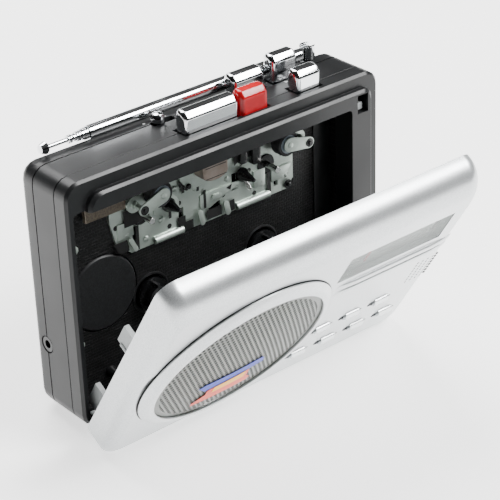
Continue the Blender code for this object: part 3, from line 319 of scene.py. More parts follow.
def pressed_pulp():
    """Pressed paper pulp: fibrous and very dull."""
    material, tree, shader = begin("cone_pressed_pulp", "1C1B1A", 0.9)
    where = millimetres(tree, DOOR)
    fibres = speckle(tree, where, 0.3, 4.0, (1, 1, 2.5))
    tree.links.new(tinted(tree, fibres, "141312", "2A2826"), shader.inputs["Base Color"])
    roughened(tree, shader, fibres, 0.04)
    return material


# the finish of each slot in the model, by what the real piece is made of
FINISHES = {
    # black shells: a dark grey that never quite turns black, since the grain scatters the light
    "case_plastic": moulded_abs("case_grained_abs", "121314", "191A1B", 0.36, 0.30, 0.012, CASE),
    "well_plastic": woven_abs(),
    "silver_plastic": silver_paint(),
    # the door's inner plate: unpainted grey moulding, duller than the sprayed skin
    "pale_plastic": moulded_abs("inner_grey_abs", "A3A7A7", "B4B8B8", 0.42, 0.35, 0.008, DOOR),
    "chrome_plate": plated_chrome(),
    "red_plastic": gloss_plastic("record_key_red_abs", "A8101A", "C41822", 0.18),
    # pressed deck parts: greenish grey passivated zinc with a soft shine
    "zinc_sheet": rolled_steel("deck_zinc_plated_steel", "AEB8B0", "C0CAC2", 0.36, 0.75),
    "steel": rolled_steel("turned_bare_steel", "C2C2C0", "DADAD8", 0.2),
    # screening can: brown lacquer, warm beside the zinc
    "shield_metal": lacquered_metal("shield_brown_lacquer", "544B40", "6E6456", 0.30),
    # motor: black paint with coarse specks that catch the light
    "motor_paint": lacquered_metal("motor_speckled_black", "0E0E0F", "1D1E20", 0.5, 0.22, 0.03),
    "dark_acetal": gloss_plastic("black_acetal", "0C0C0D", "151617", 0.20),
    "rubber": ground_rubber(),
    "brass": rolled_steel("turned_brass", "B08D4A", "C9A45C", 0.24),
    "grille_steel": lacquered_metal("grille_grey_lacquer", "5C5F5B", "6D706B", 0.34, 0.15, 0.004),
    "clear_lens": smoked_lens(),
    "scale_print": printed_paper("dial_grey_print", "9AA19C", "A8AFAA"),
    "cone_paper": pressed_pulp(),
    "circuit_board": gloss_plastic("board_green_lacquer", "1F5B2E", "2E7440", 0.3),
}
# black ink for the dial's print, and also painted shade in the door arms' slots and a pin's hole
BLACK_INK_AND_SHADE = printed_paper("black_ink_and_slot_shade", "141515", "1D1E1F", 0.45)
WHITE_PRINT = printed_paper("white_ink", "C4C6C6", "D6D8D8", 0.5, CASE)
BLUE_FILM = printed_paper("label_blue_film", "1A2C9C", "2A3EB4", 0.3)
ORANGE_FILM = printed_paper("label_orange_film", "D8320E", "E84A1C", 0.3)
YELLOW_FILM = printed_paper("label_yellow_film", "E8A006", "F2B414", 0.3)
LEAD_SLEEVE = gloss_plastic("lead_red_vinyl", "4A1512", "5E1D18", 0.4)
HUB_PLASTIC = gloss_plastic("roller_hub_nylon", "7F8B96", "95A1AB", 0.35)
# the label's film is nearly free of shine, so that its colours stay full
for film_material in (BLUE_FILM, ORANGE_FILM, YELLOW_FILM):
    film_material.node_tree.nodes["Principled BSDF"].inputs["Specular IOR Level"].default_value = 0.08
# painted shade: this near-black stands in for the shade inside holes, slots, recesses and gaps round parts
PAINTED_SHADE = gloss_plastic("painted_recess_shade", "060606", "0A0A0A", 0.5, DOOR)


# ---- shapes ----------------------------------------------------------------------------------
def rounded_rect(x0, x1, z0, z1, radius, steps=6):
    """Outline of an upright rectangle with round corners."""
    points = []
    for x, z, start in ((x1, z1, 0), (x0, z1, 90), (x0, z0, 180), (x1, z0, 270)):
        middle_x = x - math.copysign(radius, x - (x0 + x1) / 2)
        middle_z = z - math.copysign(radius, z - (z0 + z1) / 2)
        for step in range(steps + 1):
            angle = math.radians(start + 90 * step / steps)
            points.append((middle_x + radius * math.cos(angle), middle_z + radius * math.sin(angle)))
    return points


def circle(x, z, radius, steps=24):
    """Outline of a circle."""
    return [(x + radius * math.cos(2 * math.pi * i / steps), z + radius * math.sin(2 * math.pi * i / steps))
            for i in range(steps)]


def loft(stations, closed=True):
    """Skin through rings of (x, depth, height) points."""
    mesh = bmesh.new()
    rings = [[mesh.verts.new(point) for point in ring] for ring in stations]
    count = len(rings[0])
    for near, far in zip(rings, rings[1:]):
        for i in range(count):
            j = (i + 1) % count
            mesh.faces.new((near[i], near[j], far[j], far[i]))
    if closed:
        mesh.faces.new(rings[0])
        mesh.faces.new(rings[-1])
    bmesh.ops.recalc_face_normals(mesh, faces=mesh.faces)
    return mesh


def prism(outline, front, back, bevel=0.0):
    """Plate with the outline's shape, from front to back in depth, with eased edges."""
    mesh = loft([[(x, depth, z) for x, z in outline] for depth in (front, back)])
    if bevel:
        rims = [edge for edge in mesh.edges if edge.calc_face_angle(0) > math.radians(40)]
        bmesh.ops.bevel(mesh, geom=rims, offset=bevel, segments=2, affect="EDGES", profile=0.5)
    return mesh


def turned(centre, profile, axis="y", steps=48):
    """Turn (along, radius) points about an axis through centre; the profile's ends are capped."""
    along, side, up = {"x": ((1, 0, 0), (0, 1, 0), (0, 0, 1)), "y": ((0, 1, 0), (0, 0, 1), (1, 0, 0)),
                       "z": ((0, 0, 1), (1, 0, 0), (0, 1, 0))}[axis]
    along, side, up, centre = Vector(along), Vector(side), Vector(up), Vector(centre)
    stations = []
    for distance, radius in profile:
        middle = centre + along * distance
        stations.append([middle + radius * (side * math.cos(2 * math.pi * i / steps)
                                            + up * math.sin(2 * math.pi * i / steps))
                         for i in range(steps)])
    return loft(stations)


def tube(points, radius, sides=8):
    """Round wire along points."""
    points = [Vector(p) for p in points]
    stations = []
    for i, point in enumerate(points):
        ahead = points[min(i + 1, len(points) - 1)] - points[max(i - 1, 0)]
        ahead.normalize()
        reference = Vector((0, 1, 0)) if abs(ahead.y) < 0.9 else Vector((1, 0, 0))
        side = ahead.cross(reference).normalized()
        up = side.cross(ahead)
        stations.append([point + radius * (side * math.cos(2 * math.pi * k / sides)
                                           + up * math.sin(2 * math.pi * k / sides))
                         for k in range(sides)])
    return loft(stations)


def coil(start, end, radius, turns, wire=0.16):
    """Close-wound spring with straight ends between two points."""
    start, end = Vector(start), Vector(end)
    run = end - start
    side = run.cross(Vector((0, 1, 0))).normalized()
    up = side.cross(run.normalized())
    points = [start]
    around = 10
    steps = turns * around
    for i in range(steps + 1):
        share = 0.15 + 0.7 * i / steps
        angle = 2 * math.pi * i / around
        points.append(start + run * share + radius * (side * math.cos(angle) + up * math.sin(angle)))
    points.append(end)
    return tube(points, wire, 6)


def merged(meshes):
    """Several shapes as one mesh."""
    whole = bmesh.new()
    for mesh in meshes:
        data = bpy.data.meshes.new("part")
        mesh.to_mesh(data)
        mesh.free()
        whole.from_mesh(data)
        bpy.data.meshes.remove(data)
    return whole


def linked(name, data):
    """Put mesh, curve or light data in the scene as an object at the origin."""
    shown = bpy.data.objects.new(name, data)
    bpy.context.scene.collection.objects.link(shown)
    return shown


def settled(shown):
    """Turn live modifiers into the plain mesh they make."""
    bpy.context.view_layer.update()
    graph = bpy.context.evaluated_depsgraph_get()
    plain = bpy.data.meshes.new_from_object(shown.evaluated_get(graph), depsgraph=graph)
    shown.modifiers.clear()
    shown.data = plain
    return shown


def carved(shown, cutters):
    """Cut closed shapes out of a piece."""
    guides = []
    for cutter in cutters:
        data = bpy.data.meshes.new("cutter")
        cutter.to_mesh(data)
        cutter.free()
        guide = linked("cutter", data)
        guides.append(guide)
        step = shown.modifiers.new("cut", "BOOLEAN")
        step.operation = "DIFFERENCE"
        step.solver = "EXACT"
        step.object = guide
    settled(shown)
    for guide in guides:
        bpy.data.objects.remove(guide)
    return shown


def eased(shown, width_mm, segments=2, angle=32):
    """Round the hard edges and shade the curves smooth."""
    step = shown.modifiers.new("eased edges", "BEVEL")
    step.width = width_mm * MM
    step.segments = segments
    step.limit_method = "ANGLE"
    step.angle_limit = math.radians(angle)
    step.harden_normals = True
    step.use_clamp_overlap = True
    weighted = shown.modifiers.new("flat faces stay flat", "WEIGHTED_NORMAL")
    weighted.mode = "FACE_AREA"
    weighted.weight = 80
    shown.data.shade_smooth()
    settled(shown)
    return shown


def finished(shown, body, finish, material=None, replaces=()):
    """Give a piece its material, the slot's finish where no material is given, and its body."""
    shown.data.materials.clear()
    shown.data.materials.append(material or FINISHES[finish])
    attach(shown, body)
    if replaces:
        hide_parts(*replaces)
    return shown


def drawn(name, meshes, place, body, finish, material=None, replaces=(), sharp=35):
    """Piece from shapes drawn in millimetres of the case or the door."""
    whole = merged(meshes)
    bmesh.ops.transform(whole, matrix=place, verts=whole.verts)
    data = bpy.data.meshes.new(name)
    whole.to_mesh(data)
    whole.free()
    data.shade_smooth()
    data.set_sharp_from_angle(angle=math.radians(sharp))
    return finished(linked(name, data), body, finish, material, replaces)


def softened(node, width_mm=0.22, material=None, sharp=32):
    """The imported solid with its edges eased, as the mould or press would leave them."""
    mesh = bmesh.new()
    mesh.from_mesh(frame["nodes"][node].data)
    bmesh.ops.remove_doubles(mesh, verts=mesh.verts, dist=2e-6)
    bmesh.ops.dissolve_limit(mesh, angle_limit=math.radians(0.4), verts=mesh.verts, edges=mesh.edges)
    data = bpy.data.meshes.new(node + "_finished")
    mesh.to_mesh(data)
    mesh.free()
    shown = linked(node + "_finished", data)
    if width_mm:
        eased(shown, width_mm, 2, sharp)
    else:
        data.shade_smooth()
        data.set_sharp_from_angle(angle=math.radians(sharp))
    return finished(shown, node_bodies[node], subpart_slots[node], material, [node])


# ---- repeated shapes, by Geometry Nodes ------------------------------------------------------
def repeating_tree():
    """Node tree that puts one shape on every place of a cloud of points, turned by each point's own angle."""
    tree = bpy.data.node_groups.new("repeat a shape on places", "GeometryNodeTree")
    sockets = tree.interface
    sockets.new_socket("Geometry", in_out="INPUT", socket_type="NodeSocketGeometry")
    sockets.new_socket("Shape", in_out="INPUT", socket_type="NodeSocketObject")
    sockets.new_socket("Size", in_out="INPUT", socket_type="NodeSocketFloat")
    sockets.new_socket("Weld distance", in_out="INPUT", socket_type="NodeSocketFloat")
    sockets.new_socket("Finish", in_out="INPUT", socket_type="NodeSocketMaterial")
    sockets.new_socket("Geometry", in_out="OUTPUT", socket_type="NodeSocketGeometry")
    given = add(tree, "NodeGroupInput").outputs
    shape = add(tree, "GeometryNodeObjectInfo", {"Object": given["Shape"]})
    turn = add(tree, "GeometryNodeInputNamedAttribute", {"Name": "turn"}, data_type="FLOAT_VECTOR")
    placed = add(tree, "GeometryNodeInstanceOnPoints",
                 {"Points": given["Geometry"], "Instance": shape.outputs["Geometry"],
                  "Rotation": turn.outputs["Attribute"], "Scale": given["Size"]})
    real = add(tree, "GeometryNodeRealizeInstances", {"Geometry": placed.outputs["Instances"]})
    welded = add(tree, "GeometryNodeMergeByDistance",
                 {"Geometry": real.outputs["Geometry"], "Distance": given["Weld distance"]})
    coated = add(tree, "GeometryNodeSetMaterial",
                 {"Geometry": welded.outputs["Geometry"], "Material": given["Finish"]})
    add(tree, "NodeGroupOutput", {"Geometry": coated.outputs["Geometry"]})
    return tree


REPEATING = repeating_tree()


def repeated(name, shape, places, place, body, finish, material=None, turns=None, size=1.0,
             weld_mm=0.0001, sharp=35):
    """Copies of one shape, drawn round the origin, at places in the case or the door."""
    template_data = bpy.data.meshes.new("template")
    shape.to_mesh(template_data)
    shape.free()
    template = linked("template", template_data)
    cloud = bpy.data.meshes.new(name)
    cloud.from_pydata([Vector(p) for p in places], [], [])
    attribute = cloud.attributes.new("turn", "FLOAT_VECTOR", "POINT")
    for i, turn in enumerate(turns or [(0, 0, 0)] * len(places)):
        attribute.data[i].vector = turn
    shown = linked(name, cloud)
    step = shown.modifiers.new("repeat", "NODES")
    values = {"Shape": template, "Size": size, "Weld distance": weld_mm,
              "Finish": material or FINISHES[finish]}
    step.node_group = REPEATING
    for socket in REPEATING.interface.items_tree:
        if socket.in_out == "INPUT" and socket.name in values:
            step[socket.identifier] = values[socket.name]
    settled(shown)
    bpy.data.objects.remove(template)
    shown.data.transform(place)
    shown.data.shade_smooth()
    shown.data.set_sharp_from_angle(angle=math.radians(sharp))
    return finished(shown, body, finish, material)


# ---- door -------------------------------------------------------------------------------------
SIDE_ROUND = 3.4
TOP_ROUND = 9.0
# heights where the edge's rounding starts to grow or to draw in, and over what height it does so
ROUND_GROWS = (58.0, 18.0)
TOP_DRAWS_IN = (60.0, 14.0)
BOTTOM_DRAWS_IN = (12.0, 8.0)
SIDE_HOLLOW_FRONT = -3.9
DEEP_HOLLOW_INSET = 4.4
DEEP_HOLLOW_TOP = 10.5
WHEEL_SLOT = (50, 66)
RING_WALL = 0.7
RING_LIP_REACH = 0.8


def ramp(distance, length):
    """Share from 0 to 1 of a distance along a length."""
    return min(max(distance / length, 0.0), 1.0)


def door_skin_rings():
    """Rings of the door's outer skin: its top edge curves back further than its sides."""
    outline = rounded_rect(-HALF_WIDTH, HALF_WIDTH, 0, CASE_HEIGHT, 5.0, 8)
    centre = Vector((0, CASE_HEIGHT / 2))
    rings = [[(x, DOOR_BACK, z) for x, z in outline]]
    steps = 10
    for step in range(steps + 1):
        angle = math.pi / 2 * step / steps
        ring = []
        for x, z in outline:
            share = ramp(z - ROUND_GROWS[0], ROUND_GROWS[1])
            share = share * share * (3 - 2 * share)
            radius = SIDE_ROUND + (TOP_ROUND - SIDE_ROUND) * share
            side_inset = SIDE_ROUND * (1 - math.cos(angle))
            top_inset = radius * (1 - math.cos(angle))
            inset_x = math.copysign(min(side_inset, abs(x)), x)
            if z > centre.y:
                inset_z = top_inset * ramp(z - TOP_DRAWS_IN[0], TOP_DRAWS_IN[1])
            else:
                inset_z = -side_inset * ramp(BOTTOM_DRAWS_IN[0] - z, BOTTOM_DRAWS_IN[1])
            depth = DOOR_FACE + radius * (1 - math.sin(angle))
            ring.append((x - inset_x, depth, z - inset_z))
        rings.append(ring)
    return rings


def microphone_places(depth):
    """Places of the microphone's holes, column by column."""
    return [(MIC_FIRST[0] + MIC_PITCH[0] * column, depth, MIC_FIRST[1] + MIC_PITCH[1] * row)
            for column in range(MIC_COLUMNS) for row in range(MIC_ROWS)]


def bar_places():
    """Left end and height of each push bar, row by row."""
    for first_x, z, count in BAR_ROWS:
        for i in range(count):
            yield first_x + i * BAR_PITCH, z


def speaker_oval(radius, steps=96):
    """Outline of the speaker opening, wider than it is high."""
    return [(SPEAKER[0] + x, SPEAKER[1] + z * SPEAKER_OVAL) for x, z in circle(0, 0, radius, steps)]


def speaker_band(profile):
    """Closed band round the speaker from (depth, radius) points."""
    stations = [[(x, depth, z) for x, z in speaker_oval(radius)] for depth, radius in profile]
    stations.append(stations[0])
    band = loft(stations, closed=False)
    bmesh.ops.remove_doubles(band, verts=band.verts, dist=0.001)
    bmesh.ops.recalc_face_normals(band, faces=band.faces)
    return band


def make_door_shell():
    """Sprayed moulding, hollow behind, with its openings."""
    whole = loft(door_skin_rings())
    bmesh.ops.transform(whole, matrix=DOOR, verts=whole.verts)
    data = bpy.data.meshes.new("door_shell_finished")
    whole.to_mesh(data)
    whole.free()
    shell = linked("door_shell_finished", data)
    hollow = prism(rounded_rect(-HALF_WIDTH + DOOR_WALL, HALF_WIDTH - DOOR_WALL, DOOR_WALL,
                                CASE_HEIGHT - DOOR_WALL, SIDE_ROUND), SIDE_HOLLOW_FRONT, 1.0)
    deep_hollow = prism(rounded_rect(-HALF_WIDTH + DEEP_HOLLOW_INSET, HALF_WIDTH - DEEP_HOLLOW_INSET,
                                     DEEP_HOLLOW_INSET, CASE_HEIGHT - DEEP_HOLLOW_TOP, SIDE_ROUND),
                        DOOR_FACE + DOOR_WALL, -3.0)
    cutters = [hollow, deep_hollow]
    cutters.append(prism(speaker_oval(OPENING_RADIUS), DOOR_FACE - 2, DOOR_FACE + 3))
    cutters.append(prism(rounded_rect(*WINDOW, 0.5, 2), DOOR_FACE - 2, DOOR_FACE + 3))
    for x, z in bar_places():
        cutters.append(prism(rounded_rect(x - GAP, x + BAR_LENGTH + GAP, z - BAR_HEIGHT / 2 - GAP,
                                          z + BAR_HEIGHT / 2 + GAP, 0.3, 2), DOOR_FACE - 2, DOOR_FACE + 3))
        # scooped finger recess at the bar's left end, and a pin hole at its right end
        cutters.append(turned((x - SCOOP_LEFT, DOOR_FACE, z), [(-1, SCOOP_RADIUS), (0.5, SCOOP_RADIUS)],
                              steps=20))
        cutters.append(turned((x + BAR_LENGTH + PIN_HOLE_RIGHT, DOOR_FACE, z),
                              [(-1, PIN_HOLE_RADIUS), (0.6, PIN_HOLE_RADIUS)], steps=14))
    for hole in microphone_places(DOOR_FACE):
        cutters.append(turned(hole, [(-1, MIC_HOLE_RADIUS), (0.5, MIC_HOLE_RADIUS)], steps=8))
    # slot in the door's side where the tuning wheel's edge comes out
    low, high = WHEEL_SLOT
    cutters.append(prism([(HALF_WIDTH + 1, high), (HALF_WIDTH - 3, high), (HALF_WIDTH - 3, low),
                          (HALF_WIDTH + 1, low)], -6.6, -4.0))
    for cutter in cutters:
        bmesh.ops.transform(cutter, matrix=DOOR, verts=cutter.verts)
    carved(shell, cutters)
    eased(shell, 0.18, 2, 40)
    return finished(shell, "door", "silver_plastic", replaces=["door_shell"])


def swept_step(low, high, rise, left, right):
    """Raised moulding that runs along the door with a rounded section and tapered ends."""
    stations = []
    steps = 28
    for i in range(steps + 1):
        share = i / steps
        x = left + (right - left) * share
        taper = min(1.0, 6 * share, 6 * (1 - share)) ** 0.5 if 0 < share < 1 else 0.02
        ring = []
        for k in range(9):
            angle = math.pi * k / 8
            z = (low + high) / 2 + (high - low) / 2 * math.cos(angle)
            ring.append((x, DOOR_FACE + 0.3 - (rise + 0.3) * taper * math.sin(angle) ** 0.7, z))
        stations.append(ring)
    return loft(stations)


def make_door_face():
    """Speaker ring with a painted shadow band at its foot, painted shade in the microphone holes, the bar scoops
    and the gaps round the bars, and two ribs below the window.
    """
    front = DOOR_FACE - RING_RISE
    hole_side = OPENING_RADIUS - GAP
    wall_side = hole_side - RING_WALL
    lip_side = wall_side - RING_LIP_REACH
    profile = [(DOOR_FACE + 0.9, hole_side), (DOOR_FACE - 0.28, hole_side),
               (DOOR_FACE - 0.28, RING_RADIUS - 0.3), (DOOR_FACE - 0.4, RING_RADIUS),
               (DOOR_FACE - 0.75, RING_RADIUS)]
    for step in range(9):
        share = step / 8
        profile.append((DOOR_FACE - 0.95 - (RING_RISE - 1.0) * math.sin(math.pi / 2 * share),
                        RING_RADIUS - 0.25 - (RING_RADIUS - wall_side - 0.35) * share))
    profile += [(front, wall_side - 0.1), (front + 0.03, wall_side - 0.6), (front + 0.2, lip_side),
                (front + RING_LIP, lip_side), (front + RING_LIP, wall_side), (DOOR_FACE + 0.9, wall_side)]
    drawn("speaker_ring_finished", [speaker_band(profile)], DOOR, "door", "silver_plastic",
          replaces=["speaker_ring"])
    # painted shadow: a dark band where the raised ring meets the door face
    shadow_band = speaker_band([(DOOR_FACE - 0.02, RING_RADIUS - 0.5), (DOOR_FACE - 0.02, RING_RADIUS + 0.35),
                           (DOOR_FACE + 0.05, RING_RADIUS + 0.35), (DOOR_FACE + 0.05, RING_RADIUS - 0.5)])
    drawn("speaker_ring_gap", [shadow_band], DOOR, "door", "silver_plastic", PAINTED_SHADE)
    # painted shade: dark discs inside the microphone holes
    hole_shade_radius = MIC_HOLE_RADIUS + 0.04
    hole_shade = turned((0, 0, 0), [(0, hole_shade_radius), (0.3, hole_shade_radius)], steps=8)
    repeated("microphone_holes", hole_shade, microphone_places(DOOR_FACE + 0.2), DOOR, "door", "silver_plastic",
             PAINTED_SHADE)
    # painted shade: dark discs in the bars' finger scoops
    scoops = [(x - SCOOP_LEFT, DOOR_FACE + 0.3, z) for x, z in bar_places()]
    repeated("bar_scoops", turned((0, 0, 0), [(0, 0.85), (0.3, 0.85)], steps=16), scoops, DOOR, "door",
             "silver_plastic", PAINTED_SHADE)
    # painted shade: dark plates behind the door, seen through the gaps round the bars
    behind = DOOR_FACE + DOOR_WALL
    gap_shades = [prism(rounded_rect(x - 0.5, x + BAR_LENGTH + 0.5, z - 2.0, z + 2.0, 0.3, 2),
                     behind + 0.05, behind + 0.15) for x, z in bar_places()]
    drawn("bar_backing", gap_shades, DOOR, "door", "silver_plastic", PAINTED_SHADE)
    steps = [swept_step(47.2, 49.8, 0.9, 9.0, 57.0), swept_step(43.8, 46.0, 0.7, 9.5, 57.0)]
    drawn("door_ribs", steps, DOOR, "door", "silver_plastic", sharp=50)


def grille_cell(width, height, hole):
    """One cell of the perforated sheet: a rectangle with a round hole, open to its neighbours."""
    mesh = bmesh.new()
    outer = [(1, 0), (1, 1), (0, 1), (-1, 1), (-1, 0), (-1, -1), (0, -1), (1, -1)]
    outer = [(x * width / 2, z * height / 2) for x, z in outer]
    inner = circle(0, 0, hole, 8)
    rings = []
    for points, depth in ((outer, 0.0), (inner, 0.0), (inner, GRILLE_SHEET), (outer, GRILLE_SHEET)):
        rings.append([mesh.verts.new((px, depth, pz)) for px, pz in points])
    for near, far in zip(rings, rings[1:]):
        for i in range(8):
            j = (i + 1) % 8
            mesh.faces.new((near[i], near[j], far[j], far[i]))
    mesh.normal_update()
    return mesh


def grille_depth(x, z):
    """How far back the grille's domed front is at a place on the door."""
    share = min(math.hypot(x - SPEAKER[0], (z - SPEAKER[1]) / SPEAKER_OVAL) / GRILLE_RADIUS, 1.0)
    return DOOR_FACE - RING_RISE + RING_LIP + GAP - GRILLE_DOME * (1 - share ** 2)


def make_grille():
    """Perforated steel pressed to a shallow dome, its holes in staggered rows, inside a plain rim."""
    width, height = GRILLE_CELL
    x0, z0 = SPEAKER
    places = []
    for j in range(-24, 25):
        for i in range(-20, 21):
            x = width * (i + 0.5 * (j % 2))
            z = height * j
            if math.hypot(x, z / SPEAKER_OVAL) < GRILLE_RADIUS - 1.2:
                places.append((x0 + x, 0, z0 + z))
    sheet = repeated("speaker_grille_sheet", grille_cell(width, height, GRILLE_HOLE), places,
                     Matrix.Identity(4), "door", "grille_steel", weld_mm=0.02, sharp=60)
    for vert in sheet.data.vertices:
        vert.co.y += grille_depth(vert.co.x, vert.co.z)
    sheet.data.transform(DOOR)
    edge = grille_depth(x0 + GRILLE_RADIUS, z0)
    inner_radius = GRILLE_RADIUS - GRILLE_RIM
    inside = grille_depth(x0 + inner_radius, z0)
    rim = speaker_band([(inside, inner_radius), (edge, GRILLE_RADIUS), (edge + 0.6, GRILLE_RADIUS),
                        (inside + 0.6, inner_radius)])
    drawn("speaker_grille_rim", [rim], DOOR, "door", "grille_steel", replaces=["speaker_grille"])


def film(outline, lift):
    """Thin label film that follows the grille's dome."""
    mesh = prism(outline, -lift - 0.05, -lift)
    bmesh.ops.triangulate(mesh, faces=mesh.faces)
    bmesh.ops.subdivide_edges(mesh, edges=mesh.edges, cuts=3, use_grid_fill=True)
    for vert in mesh.verts:
        vert.co.y += grille_depth(vert.co.x, vert.co.z)
    return mesh


def make_label():
    """Generic three-colour label on the grille, with no words."""
    blue = film([(-36.5, 30.6), (-34.0, 31.6), (-14.2, 33.6), (-13.0, 32.6), (-12.6, 30.2),
                 (-33.0, 27.2)], 0.3)
    orange = film([(-34.9, 19.0), (-35.4, 20.6), (-31.6, 24.2), (-32.0, 27.0), (-17.4, 29.2), (-16.6, 24.6),
                   (-14.4, 22.4), (-14.8, 20.4)], 0.38)
    yellow = film([(-29.4, 24.0), (-29.8, 27.6), (-18.6, 29.2), (-18.0, 25.2)], 0.46)
    drawn("label_blue", [blue], DOOR, "door", "silver_plastic", BLUE_FILM)
    drawn("label_orange", [orange], DOOR, "door", "silver_plastic", ORANGE_FILM)
    drawn("label_yellow", [yellow], DOOR, "door", "silver_plastic", YELLOW_FILM)


def make_dial():
    """Printed tuning scale: two rows of ticks, their numbers, and rules between them."""
    x0, x1, z0, z1 = WINDOW
    front = DOOR_FACE + DOOR_WALL + 1.2 - 0.03
    places = []
    steps = 40
    for i in range(steps + 1):
        x = x0 + 3 + (x1 - x0 - 6) * i / steps
        places += [(x, front, z1 - 5.6), (x, front, z0 + 4.6)]
    tick = prism([(-0.09, -0.5), (0.09, -0.5), (0.09, 0.5), (-0.09, 0.5)], -0.02, 0.03)
    repeated("dial_ticks", tick, places, DOOR, "door", "scale_print", BLACK_INK_AND_SHADE)
    rules = [prism([(x1 - 1.5, z), (x0 + 1.5, z), (x0 + 1.5, z + 0.2), (x1 - 1.5, z + 0.2)],
                   front - 0.02, front + 0.03) for z in (z0 + 6.2, z1 - 4.6, z0 + 1.2)]
    drawn("dial_rules", rules, DOOR, "door", "scale_print", BLACK_INK_AND_SHADE)
    numbers = []
    for row, height in ((("88", "92", "96", "100", "104", "108"), z1 - 3.6),
                        (("53", "60", "70", "90", "120", "160"), z0 + 1.9)):
        for i, text in enumerate(row):
            curve = bpy.data.curves.new("number", "FONT")
            curve.body = text
            curve.size = 2.2
            curve.align_x = "CENTER"
            curve.resolution_u = 3
            letter = linked("number", curve)
            bpy.context.view_layer.update()
            data = bpy.data.meshes.new_from_object(letter)
            mesh = bmesh.new()
            mesh.from_mesh(data)
            bmesh.ops.rotate(mesh, verts=mesh.verts, matrix=Matrix.Rotation(math.radians(90), 3, "X"))
            bmesh.ops.translate(mesh, verts=mesh.verts,
                                vec=(x0 + 5 + (x1 - x0 - 10) * i / 5, front - 0.01, height))
            numbers.append(mesh)
            bpy.data.objects.remove(letter)
            bpy.data.curves.remove(curve)
    drawn("dial_numbers", numbers, DOOR, "door", "scale_print", BLACK_INK_AND_SHADE)


def make_wheel_ribs():
    """Finger ribs round the two edge wheels."""
    x0, z0 = WHEEL_PLACE
    for name, place, body, front, thick in (("volume_ribs", CASE, "volume_wheel", 10.8, 2.4),
                                            ("tuning_ribs", DOOR, "tuning_wheel", -6.3, 2.0)):
        places, turns = [], []
        for i in range(WHEEL_RIBS):
            angle = 2 * math.pi * i / WHEEL_RIBS
            places.append((x0 + WHEEL_RADIUS * math.sin(angle), front + thick / 2,
                           z0 + WHEEL_RADIUS * math.cos(angle)))
            turns.append((0, angle, 0))
        rib = prism([(-0.2, -0.3), (0.2, -0.3), (0.12, 0.06), (-0.12, 0.06)],
                    -thick / 2 + 0.35, thick / 2 - 0.35)
        repeated(name, rib, places, place, body, "dark_acetal", turns=turns)


def make_door_inside():
    """Pins on the two guide arms of the door's inner plate, and black painted shade in the arms' slots and in the
    lower pin's hole.
    """
    upper = [turned((ARM_SIDE, 5.4, 42.0), [(0, 0.9), (1.3, 0.9), (1.5, 0.6)], "x", 20),
             prism(rounded_rect(ARM_X - 1.2, ARM_X + 1.2, 38.0, 39.4, 0.3, 2), -3.2, 5.6, 0.2)]
    lower = [turned((ARM_SIDE, 3.0, 9.0), [(0, 1.3), (0.4, 1.3), (0.5, 1.1)], "x", 20)]
    drawn("door_arm_pins", upper + lower, DOOR, "door", "pale_plastic")
    # painted shade: black strips in the arms' slots and a black disc in the lower pin's hole
    below, above = ARM_SIDE - 0.01, ARM_SIDE + 0.06
    slots = [prism([(below, z), (above, z), (above, z + 0.5), (below, z + 0.5)], -2.0, 4.5)
             for z in (40.2, 43.6, 11.6)]
    slots.append(turned((ARM_SIDE, 3.0, 9.0), [(0.5, 0.6), (0.56, 0.6)], "x", 16))
    drawn("door_arm_marks", slots, DOOR, "door", "pale_plastic", BLACK_INK_AND_SHADE)


# ---- cassette well and deck ------------------------------------------------------------------
def plate(outline, front, thick=0.7, bevel=0.08):
    """Sheet of one thickness with the outline's shape."""
    return prism(outline, front, front + thick, bevel)


def strap(a, b, width, front, thick=0.7):
    """Flat lever with round ends between two points."""
    a, b = Vector(a), Vector(b)
    along = (b - a).normalized()
    across = Vector((-along.y, along.x))
    points = []
    for centre, start in ((b, -90), (a, 90)):
        for step in range(9):
            angle = math.radians(start + 180 * step / 8)
            points.append(tuple(centre + width / 2 * (along * math.cos(angle) + across * math.sin(angle))))
    return plate(points, front, thick)


def tapered_strap(a, radius_a, b, radius_b, front, thick):
    """Flat plate round two centres with straight sides between its round ends."""
    a, b = Vector(a), Vector(b)
    along = (b - a).normalized()
    across = Vector((-along.y, along.x))
    points = []
    for centre, radius, start in ((b, radius_b, -90), (a, radius_a, 90)):
        for step in range(13):
            angle = math.radians(start + 180 * step / 12)
            points.append(tuple(centre + radius * (along * math.cos(angle) + across * math.sin(angle))))
    return plate(points, front, thick)


